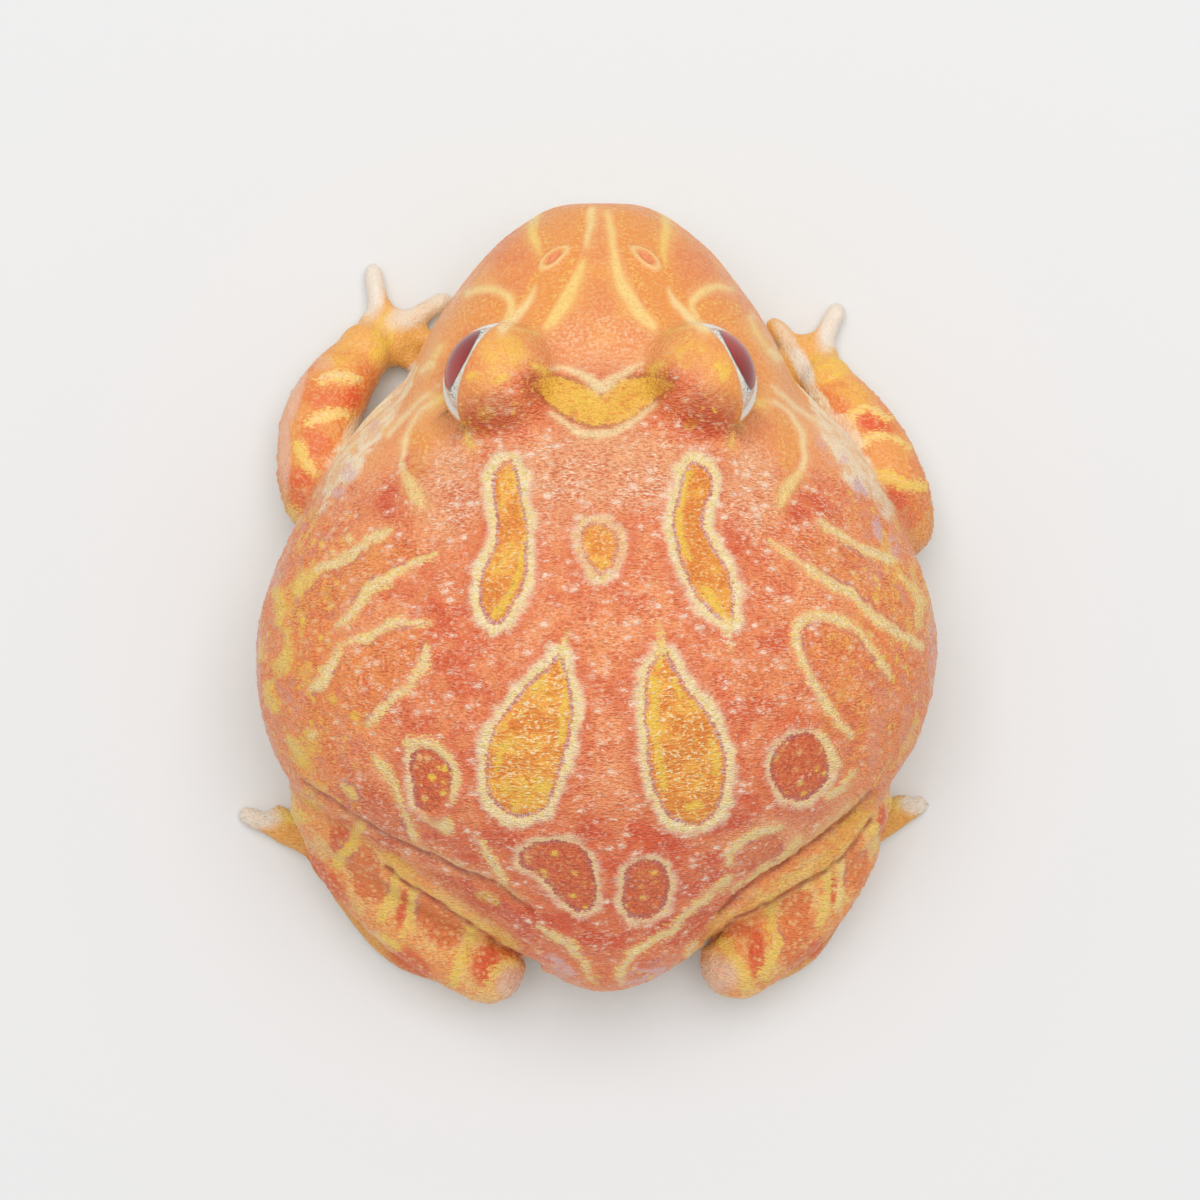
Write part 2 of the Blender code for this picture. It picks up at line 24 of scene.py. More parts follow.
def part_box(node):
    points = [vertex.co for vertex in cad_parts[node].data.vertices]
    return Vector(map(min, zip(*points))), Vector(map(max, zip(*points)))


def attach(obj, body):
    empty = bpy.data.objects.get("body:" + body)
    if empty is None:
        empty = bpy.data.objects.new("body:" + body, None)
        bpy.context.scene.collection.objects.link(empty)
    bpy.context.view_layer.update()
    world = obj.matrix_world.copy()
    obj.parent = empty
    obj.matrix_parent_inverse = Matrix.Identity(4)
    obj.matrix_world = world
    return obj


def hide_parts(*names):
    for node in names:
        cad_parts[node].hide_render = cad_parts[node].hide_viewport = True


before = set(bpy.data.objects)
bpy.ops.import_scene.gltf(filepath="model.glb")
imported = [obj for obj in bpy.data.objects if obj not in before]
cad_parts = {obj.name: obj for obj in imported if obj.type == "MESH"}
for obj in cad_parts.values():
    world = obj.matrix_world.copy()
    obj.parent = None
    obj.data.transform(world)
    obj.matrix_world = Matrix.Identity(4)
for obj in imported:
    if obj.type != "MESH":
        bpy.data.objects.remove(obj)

log = logging.getLogger("frog")

MM = 0.001
Socket = bpy.types.NodeSocket
Colour = tuple[float, float, float, float]
Input = Socket | float | Sequence[float]


def srgb(red: float, green: float, blue: float) -> Colour:
    """Linear colour of a screen colour.

    Args:
        red: Red from 0 to 255.
        green: Green from 0 to 255.
        blue: Blue from 0 to 255.

    Returns:
        Linear red, green and blue from 0 to 1, and full alpha.
    """
    linear = []
    for value in (red, green, blue):
        share = value / 255
        linear.append(share / 12.92 if share <= 0.04045 else ((share + 0.055) / 1.055) ** 2.4)
    return (linear[0], linear[1], linear[2], 1.0)


def step(values: np.ndarray, start: float, end: float) -> np.ndarray:
    """Smooth rise from 0 at start to 1 at end, or a fall where start is the larger.

    Args:
        values: Numbers to shape.
        start: Where the result leaves 0.
        end: Where the result reaches 1.

    Returns:
        An array of the same shape, from 0 to 1.
    """
    share = np.clip((values - start) / (end - start), 0.0, 1.0)
    return share * share * (3 - 2 * share)


def bell(values: np.ndarray, middle: float, reach: float) -> np.ndarray:
    """Rounded hump of height 1.

    Args:
        values: Numbers to shape.
        middle: Where the hump stands.
        reach: How far from its middle it has fallen to about a third.

    Returns:
        An array of the same shape, from 0 to 1.
    """
    return np.exp(-(((values - middle) / reach) ** 2))


def lattice(cells: np.ndarray, seed: int) -> np.ndarray:
    """One even random number for each cell of a grid in space.

    Args:
        cells: Whole-numbered cells, one row each.
        seed: Which set of numbers to draw.

    Returns:
        A number from 0 to 1 for each row.
    """
    mixed = cells[:, 0] * 73856093 ^ cells[:, 1] * 19349663 ^ cells[:, 2] * 83492791 ^ seed * 2654435
    mixed = (mixed ^ (mixed >> 13)) * 1274126177
    mixed = (mixed ^ (mixed >> 15)) * 668265263
    return ((mixed ^ (mixed >> 16)) & 0xFFFFF) / 0xFFFFF


def noise(points: np.ndarray, size: float | Sequence[float], seed: int) -> np.ndarray:
    """Smooth random swell over points in space.

    Args:
        points: Places, one row each.
        size: Length of a swell, or one length for each axis.
        seed: Which swell to draw.

    Returns:
        A number from -1 to 1 for each row.
    """
    scaled = points / np.asarray(size, float)
    base = np.floor(scaled).astype(np.int64)
    part = scaled - base
    part = part * part * (3 - 2 * part)
    total = np.zeros(len(points))
    for corner in itertools.product((0, 1), repeat=3):
        share = np.prod(np.where(corner, part, 1 - part), axis=1)
        total += share * lattice(base + np.array(corner), seed)
    return 2 * total - 1


def clouds(points: np.ndarray, size: float | Sequence[float], seed: int) -> np.ndarray:
    """Cloudy noise of three layers, each half as large and as strong as the last.

    Args:
        points: Places, one row each.
        size: Length of a cloud, or one length for each axis.
        seed: Which clouds to draw.

    Returns:
        A number from about 0.2 to 0.8 for each row.
    """
    share = (1.0, 0.5, 0.25)
    return 0.5 + 0.27 * sum(s * noise(points, np.asarray(size, float) * s, seed + k) for k, s in enumerate(share))


def scattered(points: np.ndarray, spacing: float, seed: int) -> tuple[np.ndarray, np.ndarray]:
    """Nearest of many seeds strewn evenly through space.

    Args:
        points: Places, one row each.
        spacing: Mean distance between seeds.
        seed: Which seeds to strew.

    Returns:
        The distance of each point from its nearest seed, and a number from 0 to 1 that goes
        with that seed.
    """
    cells = np.floor(points / spacing).astype(np.int64)
    nearest = np.full(len(points), np.inf)
    kind = np.zeros(len(points))
    for shift in itertools.product((-1, 0, 1), repeat=3):
        cell = cells + np.array(shift)
        place = np.stack([cell[:, k] + lattice(cell, seed + k) for k in range(3)], axis=1) * spacing
        away = np.linalg.norm(points - place, axis=1)
        closer = away < nearest
        nearest[closer] = away[closer]
        kind[closer] = lattice(cell[closer], seed + 7)
    return nearest, kind


def smooth_curve(rows: np.ndarray, pace: float) -> np.ndarray:
    """Smooth curve through a few rows of numbers, the first two of which are a place.

    Args:
        rows: The rows that the curve passes, in order.
        pace: Largest step along the curve.

    Returns:
        Rows close together along the curve.
    """
    if len(rows) == 1:
        return rows
    padded = np.vstack([2 * rows[0] - rows[1], rows, 2 * rows[-1] - rows[-2]])
    made = [rows[:1]]
    for before, start, end, after in zip(padded, padded[1:], padded[2:], padded[3:]):
        count = max(2, math.ceil(np.linalg.norm(end[:2] - start[:2]) / pace))
        u = np.linspace(0, 1, count + 1)[1:, None]
        bend = 2 * start + (end - before) * u
        bend = bend + (2 * before - 5 * start + 4 * end - after) * u**2
        bend = bend + (3 * start - before - 3 * end + after) * u**3
        made.append(bend / 2)
    return np.vstack(made)


@dataclass(frozen=True)
class PhotoView:
    """The camera of the photograph, and how the animal falls on its picture.

    It looks down from above and slightly behind. Lengths here are in metres, and places on the
    picture in its pixels.
    """

    picture_side: float = 1200.0
    distance: float = 0.5
    tilt: float = math.radians(4.0)
    target: tuple[float, float, float] = (0.0, 0.0, 0.025)
    span: float = 0.1524
    sensor: float = 36.0

    @property
    def pixel(self) -> float:
        """Millimetres of the animal that one pixel covers at the target."""
        return self.span / self.picture_side / MM

    def axes(self) -> tuple[np.ndarray, np.ndarray, np.ndarray]:
        """Unit vectors of the camera.

        Returns:
            To the right in the picture, up in the picture, and from the target to the camera.
        """
        back = np.array([0.0, math.sin(self.tilt), math.cos(self.tilt)])
        up = np.array([0.0, -math.cos(self.tilt), math.sin(self.tilt)])
        return np.cross(up, back), up, back

    def places(self, points: np.ndarray) -> np.ndarray:
        """Where points of the animal fall on the picture.

        Args:
            points: Places in millimetres, one row each.

        Returns:
            Pixels to the right of and below the picture's corner, one row each.
        """
        right, up, back = self.axes()
        offset = points * MM - (np.array(self.target) + self.distance * back)
        scale = self.distance / self.span * self.picture_side / -(offset @ back)
        middle = self.picture_side / 2
        return np.stack([middle + (offset @ right) * scale, middle - (offset @ up) * scale], axis=1)

    def build(self) -> bpy.types.Object:
        """Makes this camera the scene's own.

        Returns:
            The camera.
        """
        lens = bpy.data.cameras.new("photo_camera")
        lens.sensor_width = self.sensor
        lens.lens = self.sensor * self.distance / self.span
        lens.clip_start = 0.01
        lens.clip_end = 20.0
        camera = bpy.data.objects.new("photo_camera", lens)
        right, up, back = (Vector(axis) for axis in self.axes())
        turn = Matrix((right, up, back)).transposed().to_4x4()
        camera.matrix_world = Matrix.Translation(Vector(self.target) + back * self.distance) @ turn
        bpy.context.scene.collection.objects.link(camera)
        bpy.context.scene.camera = camera
        return camera


class Tree:
    """Places shader nodes in a node tree and joins them."""

    def __init__(self, tree: bpy.types.NodeTree) -> None:
        """Starts on an empty or a fresh node tree.

        Args:
            tree: The tree to work in.
        """
        self.tree = tree

    def feed(self, socket: Socket, value: Input) -> None:
        """Joins a socket to another, or gives it a constant.

        Args:
            socket: The input to feed.
            value: An output socket, a number, or the numbers of a vector or colour.
        """
        if isinstance(value, bpy.types.NodeSocket):
            self.tree.links.new(value, socket)
        else:
            socket.default_value = value

    def node(self, kind: str, inputs: Mapping[str | int, Input] | None = None, **settings: object) -> bpy.types.Node:
        """Adds a node.

        Args:
            kind: The node's type.
            inputs: What feeds its inputs, by name or number.
            **settings: Its other settings.

        Returns:
            The node.
        """
        made = self.tree.nodes.new(kind)
        for name, value in settings.items():
            setattr(made, name, value)
        for name, value in (inputs or {}).items():
            self.feed(made.inputs[name], value)
        return made

    def math(self, operation: str, *values: Input, clamp: bool = False) -> Socket:
        """Joins up to three numbers by one operation and returns the result."""
        inputs = dict(enumerate(values))
        return self.node("ShaderNodeMath", inputs, operation=operation, use_clamp=clamp).outputs[0]

    def less(self, value: Input) -> Socket:
        """What is left of 1 after a number is taken away, held between 0 and 1."""
        return self.math("SUBTRACT", 1.0, value, clamp=True)

    def shaken(self, value: Input, noise: Input, reach: float) -> Socket:
        """Number moved up or down by at most about reach, as a noise from 0 to 1 has it."""
        return self.math("ADD", value, self.math("MULTIPLY_ADD", noise, 2 * reach, -reach))

    def times(self, *factors: Input) -> Socket:
        """Product of several numbers, held between 0 and 1."""
        product = factors[0]
        for factor in factors[1:]:
            product = self.math("MULTIPLY", product, factor, clamp=True)
        return product

    def step(self, value: Input, start: float, end: float, low: float = 0.0, high: float = 1.0) -> Socket:
        """Smooth change of a number.

        Args:
            value: The number that drives it.
            start: Where the result leaves low.
            end: Where the result reaches high.
            low: The result at start.
            high: The result at end.

        Returns:
            The result's socket.
        """
        ends = {"Value": value, "From Min": start, "From Max": end, "To Min": low, "To Max": high}
        return self.node("ShaderNodeMapRange", ends, interpolation_type="SMOOTHSTEP").outputs["Result"]

    def band(self, value: Input, start: float, end: float, soft: float) -> Socket:
        """Mask of 1 while a number is between two ends, with soft edges."""
        return self.times(self.step(value, start - soft, start + soft), self.step(value, end + soft, end - soft))

    def mix(self, share: Input, first: Input, second: Input, blend: str = "MIX") -> Socket:
        """Colour between two others.

        Args:
            share: How much of the second there is, from 0 to 1.
            first: The colour at 0.
            second: The colour at 1.
            blend: How they are mixed.

        Returns:
            The colour's socket.
        """
        made = self.node("ShaderNodeMix", {0: share, 6: first, 7: second}, data_type="RGBA", blend_type=blend)
        return made.outputs[2]

    def field(self, name: str) -> Socket:
        """Number that the skin carries at each of its points under this name."""
        return self.node("ShaderNodeAttribute", attribute_name=name).outputs["Fac"]

    def noise(self, place: Input, size: float, detail: float = 2.0, rough: float = 0.5, bend: float = 0.0) -> Socket:
        """Cloudy noise.

        Args:
            place: Coordinates in millimetres.
            size: Size of its clouds.
            detail: How many finer layers it has.
            rough: How strong the finer layers are.
            bend: How far the clouds are twisted.

        Returns:
            A number from 0 to 1.
        """
        inputs = {"Vector": place, "Scale": 1 / size, "Detail": detail, "Roughness": rough, "Distortion": bend}
        return self.node("ShaderNodeTexNoise", inputs).outputs["Fac"]

    def spots(
        self, place: Input, spacing: float, radius: float, soft: float, shake: Input = 0.5, fray: float = 1.0
    ) -> Socket:
        """Spots strewn evenly through space.

        Args:
            place: Coordinates in millimetres.
            spacing: Mean distance between their middles.
            radius: Radius of the largest.
            soft: How far each edge fades to either side of it.
            shake: Noise from 0 to 1 that frays the edges.
            fray: How far it frays them, as a multiple of the radius.

        Returns:
            A mask, 1 on the spots.
        """
        cells = self.node("ShaderNodeTexVoronoi", {"Vector": place, "Scale": 1 / spacing}).outputs["Distance"]
        frayed = self.shaken(cells, shake, fray * radius / spacing)
        return self.step(frayed, (radius + soft) / spacing, (radius - soft) / spacing)

    def millimetres(self, stretch: Sequence[float] = (1.0, 1.0, 1.0)) -> Socket:
        """Coordinates of the object in millimetres.

        Args:
            stretch: How many times longer whatever is drawn in them comes out along each axis.

        Returns:
            The coordinates' socket.
        """
        place = self.node("ShaderNodeTexCoord").outputs["Object"]
        scale = tuple(1 / MM / s for s in stretch)
        return self.node("ShaderNodeMapping", {"Vector": place, "Scale": scale}).outputs["Vector"]


def new_material(name: str) -> tuple[bpy.types.Material, Tree, bpy.types.Node]:
    """Fresh material with a plain shader.

    Args:
        name: The material's name.

    Returns:
        The material, its node tree and its shader.
    """
    material = bpy.data.materials.new(name)
    material.use_nodes = True
    return material, Tree(material.node_tree), material.node_tree.nodes["Principled BSDF"]


class MarkKind(Enum):
    """What a marking is."""

    BLOTCH = "blotch"
    ZONE = "zone"
    LINE = "line"
    BAND = "band"
    STREAK = "streak"
    FOLD = "fold"


@dataclass(frozen=True)
class Mark:
    """One marking: a chain of discs along a smooth curve on the picture.

    A blotch is filled and has a pale border, and a zone is filled and has none. A line stands
    alone, often along a zone, and a band is a soft line of the face. A streak lies inside a
    blotch. A fold is carved into the skin, and its finish darkens it with painted shade. The tone
    of a blotch or zone goes from 0, golden, to 1, brick red, and that of a line or band from 0,
    cream, to 1, yellow. Each disc is its place and radius in the picture's pixels.
    """

    tone: float
    discs: tuple[tuple[float, float, float], ...]

    def chain(self, pace: float = 2.0) -> np.ndarray:
        """Discs close together along the marking, one row each."""
        return smooth_curve(np.array(self.discs, float), pace)


BLOTCHES = {
    "left_shoulder": (0.05, ((508, 462, 3), (506, 478, 12), (508, 500, 13), (512, 526, 14), (510, 552, 17),
                             (503, 577, 21), (497, 598, 17), (496, 612, 11))),
    "right_shoulder": (0.05, ((693, 465, 3), (697, 482, 14), (692, 502, 14), (688, 522, 15), (693, 543, 16),
                              (703, 565, 18), (713, 585, 18), (721, 602, 13), (727, 618, 6))),
    "mid_back": (0.1, ((592, 534, 10), (600, 543, 17), (601, 556, 13), (601, 566, 7))),
    "left_drop": (0.25, ((559, 658, 3), (557, 672, 9), (551, 688, 18), (545, 704, 26), (537, 724, 33),
                         (528, 746, 38), (524, 763, 37), (521, 783, 33))),
    "right_drop": (0.3, ((663, 656, 4), (662, 672, 13), (665, 690, 20), (670, 708, 25), (679, 732, 33),
                         (686, 755, 38), (689, 778, 36), (691, 794, 30))),
    "left_rump": (0.95, ((532, 857, 12), (549, 860, 19), (565, 867, 24), (574, 882, 21), (581, 898, 13))),
    "right_rump": (0.95, ((647, 881, 21), (645, 893, 22), (636, 904, 13))),
    "right_hip": (1.0, ((801, 758, 24), (800, 768, 28), (797, 778, 22))),
    "left_hip": (0.9, ((424, 762, 14), (432, 779, 20), (430, 796, 14))),
    "brow": (0.0, ((534, 385, 3), (545, 387, 10), (558, 392, 16), (572, 399, 20), (586, 406, 19), (600, 412, 16),
                   (613, 407, 18), (628, 397, 20), (645, 390, 16), (657, 386, 11), (668, 384, 5))),
}

ZONES = {
    "flank_left_upper": (0.2, ((425, 552, 4), (405, 553, 10), (388, 558, 15), (368, 568, 18), (348, 581, 19),
                               (330, 595, 20), (312, 610, 18))),
    "flank_left_lower": (0.4, ((407, 641, 15), (393, 653, 20), (375, 668, 26), (355, 688, 29), (336, 708, 28))),
    "flank_right_upper": (0.2, ((798, 541, 7), (820, 551, 13), (845, 566, 18), (868, 584, 18), (888, 602, 15),
                                (905, 620, 10))),
    "flank_right_lower": (0.4, ((818, 640, 17), (838, 656, 24), (856, 680, 27), (868, 708, 24))),
    "loin_left": (0.8, ((352, 790, 14), (372, 808, 18), (396, 838, 16))),
    "loin_right": (0.8, ((768, 846, 15), (752, 858, 13))),
    "shank_left_knee": (1.0, ((340, 826, 9), (337, 842, 8))),
    "shank_left_upper": (0.7, ((362, 862, 16), (372, 884, 18))),
    "shank_left_lower": (0.7, ((428, 910, 16), (446, 932, 16))),
    "shank_right_upper": (0.6, ((858, 858, 11), (856, 882, 11))),
    "shank_right_lower": (0.7, ((798, 906, 15), (796, 932, 16), (794, 956, 12))),
    "temple_left": (0.0, ((413, 430, 5), (417, 441, 10), (418, 456, 12), (418, 470, 8))),
    "temple_right": (0.0, ((779, 416, 7), (786, 431, 12), (790, 448, 13), (788, 464, 9))),
    "muzzle_left": (0.0, ((563, 206, 24), (562, 225, 24), (562, 243, 20), (557, 262, 18), (549, 280, 18),
                          (540, 298, 19), (530, 312, 18), (520, 324, 15))),
    "muzzle_right": (0.0, ((638, 206, 22), (639, 225, 22), (641, 243, 20), (647, 262, 20), (654, 280, 20),
                           (662, 298, 20), (671, 312, 20), (680, 324, 18))),
    "cheek_left": (0.05, ((470, 312, 11), (482, 309, 14), (492, 312, 13), (488, 322, 12))),
    "cheek_right": (0.05, ((706, 314, 12), (718, 310, 13), (730, 312, 11))),
}

LINES = {
    "right_shoulder_tail": (0.3, ((727, 622, 4), (729, 634, 2), (730, 648, 1))),
    "left_drop_tail": (0.3, ((567, 634, 1), (565, 644, 2), (561, 656, 3))),
    "right_drop_tail": (0.6, ((660, 624, 1), (661, 636, 2), (661, 652, 3))),
    "flank_left_a": (0.2, ((391, 530, 2), (379, 535, 5), (367, 541, 5), (357, 550, 5), (343, 561, 5), (328, 565, 4),
                           (317, 569, 5))),
    "flank_left_a_end": (0.9, ((312, 573, 6), (303, 584, 7), (298, 591, 4))),
    "flank_left_a_nub": (0.1, ((333, 553, 3), (341, 558, 3))),
    "flank_left_b": (0.35, ((435, 554, 2), (417, 561, 3), (400, 571, 4), (387, 582, 4), (373, 587, 5), (363, 599, 5),
                            (350, 616, 4), (338, 625, 3))),
    "flank_left_c": (0.2, ((430, 624, 1), (410, 622, 4), (393, 624, 4), (373, 635, 4), (357, 641, 4), (341, 645, 4),
                           (336, 658, 4), (328, 671, 5), (323, 682, 5), (311, 688, 4))),
    "flank_left_d": (0.2, ((427, 648, 4), (421, 668, 5), (410, 685, 4), (393, 698, 4), (382, 710, 4), (369, 723, 4))),
    "flank_left_low": (1.0, ((288, 735, 3), (296, 748, 4), (303, 762, 4))),
    "flank_left_edge_a": (1.0, ((277, 592, 4), (282, 608, 5), (281, 622, 4))),
    "flank_left_edge_b": (1.0, ((287, 632, 3), (288, 648, 5), (285, 664, 8))),
    "flank_left_edge_c": (1.0, ((269, 684, 3), (272, 700, 4), (276, 710, 3))),
    "flank_left_edge_d": (0.9, ((262, 640, 2), (262, 658, 3))),
    "flank_left_spot_c": (0.3, ((349, 540, 4),)),
    "flank_left_spot_d": (0.3, ((313, 734, 4),)),
    "loin_left_a": (0.3, ((404, 744, 3), (416, 741, 4), (432, 742, 4), (445, 752, 4), (453, 768, 4), (457, 784, 4),
                          (453, 798, 3))),
    "loin_left_b": (0.4, ((375, 757, 4), (385, 768, 6), (392, 780, 4), (401, 800, 3), (410, 824, 4), (417, 838, 3))),
    "loin_left_c": (0.2, ((427, 815, 4), (440, 820, 7), (450, 828, 5))),
    "loin_left_d": (0.2, ((475, 838, 2), (487, 852, 4), (498, 868, 4), (505, 882, 3))),
    "loin_left_e": (0.7, ((344, 784, 3), (356, 796, 4))),
    "flank_right_a": (0.25, ((820, 521, 3), (836, 531, 4), (852, 543, 5), (868, 552, 5), (884, 558, 5), (895, 561, 3))),
    "flank_right_a_tail": (0.6, ((900, 576, 3), (912, 588, 4), (919, 606, 5), (919, 624, 3))),
    "flank_right_b": (0.3, ((772, 543, 2), (796, 561, 3), (820, 577, 4), (846, 591, 5), (860, 604, 4), (881, 624, 5),
                            (900, 635, 5), (920, 646, 4))),
    "flank_right_c": (0.25, ((890, 676, 3), (874, 653, 4), (856, 632, 4), (834, 619, 5), (812, 616, 5), (798, 627, 5),
                             (797, 648, 5), (808, 671, 4), (821, 696, 5), (836, 719, 4), (849, 734, 4))),
    "hip_right_side": (0.25, ((820, 736, 3), (832, 750, 4), (838, 766, 4))),
    "hip_right_low": (0.35, ((852, 772, 3), (842, 786, 4), (828, 796, 3))),
    "hip_right_top": (0.25, ((780, 826, 3), (762, 830, 4), (746, 838, 4), (731, 849, 4), (727, 860, 4), (734, 864, 2))),
    "hip_right_edge": (0.4, ((798, 838, 3), (782, 856, 3), (762, 869, 3), (746, 879, 2), (732, 889, 2))),
    "vent_left": (0.3, ((540, 925, 3), (556, 936, 4), (571, 947, 4), (582, 960, 4), (589, 976, 3))),
    "vent_right": (0.3, ((728, 880, 4), (711, 891, 4), (696, 904, 4), (682, 917, 4), (671, 930, 4), (650, 941, 4),
                         (631, 954, 4), (622, 968, 4), (621, 980, 3))),
    "vent_right_fleck": (0.3, ((694, 942, 2), (688, 952, 3))),
    "forearm_left_a": (0.5, ((317, 382, 2), (326, 378, 4), (343, 376, 5), (355, 379, 4))),
    "forearm_left_b": (0.6, ((307, 424, 2), (318, 419, 4), (332, 415, 5), (347, 416, 4))),
    "forearm_left_c": (0.8, ((299, 446, 5), (305, 459, 6), (312, 472, 4))),
    "forearm_left_d": (0.7, ((291, 508, 3), (296, 518, 4))),
    "forearm_right_a": (0.6, ((849, 423, 4), (858, 411, 4), (868, 407, 3), (880, 412, 3), (890, 418, 3))),
    "forearm_right_b": (0.6, ((862, 446, 5), (872, 436, 4), (886, 436, 3), (900, 440, 3), (911, 448, 2))),
    "forearm_right_c": (0.9, ((876, 474, 4), (890, 478, 5), (906, 484, 5), (923, 486, 4))),
    "shank_left_a": (1.0, ((358, 829, 5), (351, 844, 5), (344, 854, 5), (337, 862, 4))),
    "shank_left_b": (0.9, ((399, 874, 5), (395, 890, 6), (388, 906, 5), (382, 918, 4))),
    "shank_left_c": (0.8, ((413, 892, 4), (413, 906, 5), (409, 920, 4), (403, 935, 4))),
    "shank_left_d": (0.9, ((471, 932, 5), (463, 952, 6), (457, 970, 5), (453, 984, 4))),
    "shank_left_e": (0.7, ((514, 962, 4), (500, 968, 5), (490, 981, 5))),
    "shank_left_rim": (1.0, ((383, 938, 3), (398, 946, 4))),
    "shank_right_a": (0.8, ((825, 871, 5), (827, 888, 4), (825, 908, 4), (819, 925, 3))),
    "shank_right_b": (0.5, ((840, 858, 3), (841, 878, 3), (840, 896, 3), (834, 911, 2))),
    "shank_right_c": (0.9, ((770, 904, 5), (772, 922, 5), (777, 940, 5), (772, 957, 5), (764, 976, 6))),
    "shank_right_d": (0.9, ((721, 938, 5), (731, 953, 6), (742, 970, 6), (748, 988, 5))),
    "shank_right_e": (0.8, ((872, 828, 3), (876, 846, 4))),
    "toe_left": (0.9, ((285, 813, 8), (300, 817, 7))),
    "toe_right": (0.9, ((893, 803, 7), (905, 804, 6))),
}

BANDS = {
    "nose_left": (0.35, ((592, 211, 4), (590, 224, 4), (588, 236, 3), (587, 246, 1))),
    "nose_left_low": (0.6, ((583, 262, 2), (577, 277, 4), (569, 293, 6), (558, 312, 6), (547, 327, 4))),
    "nose_right": (0.5, ((608, 212, 2), (611, 229, 3), (613, 247, 3), (616, 263, 4), (621, 281, 5), (629, 297, 6),
                         (641, 313, 6), (655, 327, 4))),
    "snout_left": (0.75, ((535, 216, 5), (533, 231, 5), (536, 244, 3), (540, 254, 1))),
    "snout_right": (0.75, ((666, 217, 5), (665, 235, 4), (663, 248, 3), (664, 262, 1))),
    "cheek_left": (0.2, ((535, 286, 1), (529, 300, 3), (517, 314, 5), (502, 328, 5))),
    "cheek_right": (0.2, ((668, 289, 1), (673, 301, 3), (684, 313, 4), (697, 324, 5), (706, 330, 4))),
    "arch_left": (0.45, ((467, 294, 3), (484, 289, 3), (498, 290, 3), (508, 296, 4), (512, 306, 4), (508, 318, 4))),
    "arch_right": (0.45, ((731, 289, 2), (716, 287, 3), (704, 292, 4), (695, 298, 4), (691, 306, 3), (696, 317, 3))),
    "crest_left": (0.6, ((497, 331, 1), (510, 328, 1), (524, 330, 1), (536, 334, 1))),
    "crest_right": (0.6, ((706, 330, 1), (692, 327, 1), (678, 329, 1), (667, 333, 1))),
    "brow_top": (0.0, ((545, 370, 1), (558, 368, 2), (573, 370, 3), (587, 378, 4), (600, 388, 6), (613, 379, 4),
                       (629, 370, 3), (644, 364, 1))),
    "brow_low": (0.05, ((550, 414, 2), (563, 423, 3), (578, 431, 4), (594, 435, 4), (610, 434, 4), (626, 427, 4),
                        (641, 416, 3), (656, 404, 2))),
    "brow_left_end": (0.9, ((546, 372, 4), (536, 366, 3))),
    "brow_right_end": (0.9, ((653, 370, 4), (662, 364, 3))),
    "stripe_upper_left": (0.05, ((439, 384, 1), (425, 396, 2), (412, 409, 2), (399, 422, 2), (388, 434, 3))),
    "stripe_left": (0.08, ((435, 400, 2), (422, 411, 2), (411, 427, 2), (405, 444, 3), (401, 459, 2), (403, 468, 3))),
    "stripe_left_end": (0.4, ((405, 474, 4), (410, 485, 6), (417, 496, 6), (422, 504, 3))),
    "stripe_upper_right": (0.05, ((771, 387, 1), (784, 397, 2), (797, 409, 2), (810, 417, 2), (821, 424, 3))),
    "stripe_right": (0.08, ((775, 402, 2), (789, 413, 2), (799, 427, 3), (803, 441, 3), (804, 456, 3), (801, 469, 3))),
    "stripe_right_end": (0.45, ((797, 475, 4), (789, 485, 6), (784, 495, 5), (781, 505, 3))),
    "canthus_left": (0.7, ((443, 398, 4), (434, 401, 3))),
    "canthus_right": (0.7, ((757, 402, 3), (765, 404, 4), (769, 409, 3))),
    "flank_spot_upper": (1.0, ((332, 697, 3), (335, 700, 3))),
    "flank_spot_lower": (1.0, ((354, 714, 3), (357, 717, 3))),
    "thigh_lip_left": (0.35, ((345, 806, 1), (366, 820, 1), (390, 835, 1), (410, 843, 1), (436, 854, 1), (462, 867, 1),
                              (498, 884, 1), (522, 900, 1))),
    "shank_lip_left": (0.8, ((404, 875, 1), (430, 892, 1), (462, 912, 1), (490, 930, 1), (515, 946, 1))),
    "thigh_lip_right": (0.35, ((848, 806, 1), (826, 826, 1), (802, 844, 1), (780, 858, 1))),
    "lip_left": (0.3, ((422, 372, 2), (431, 364, 3))),
    "lip_right": (0.3, ((778, 358, 3), (770, 350, 3))),
    "snout_side_left": (0.5, ((440, 346, 2), (434, 356, 2))),
    "snout_side_right": (0.5, ((750, 318, 2), (757, 334, 2), (766, 346, 2))),
    "fold_left": (0.8, ((462, 424, 2), (466, 435, 4), (471, 445, 2))),
    "fold_right": (0.8, ((740, 424, 2), (737, 435, 4), (732, 445, 2))),
}

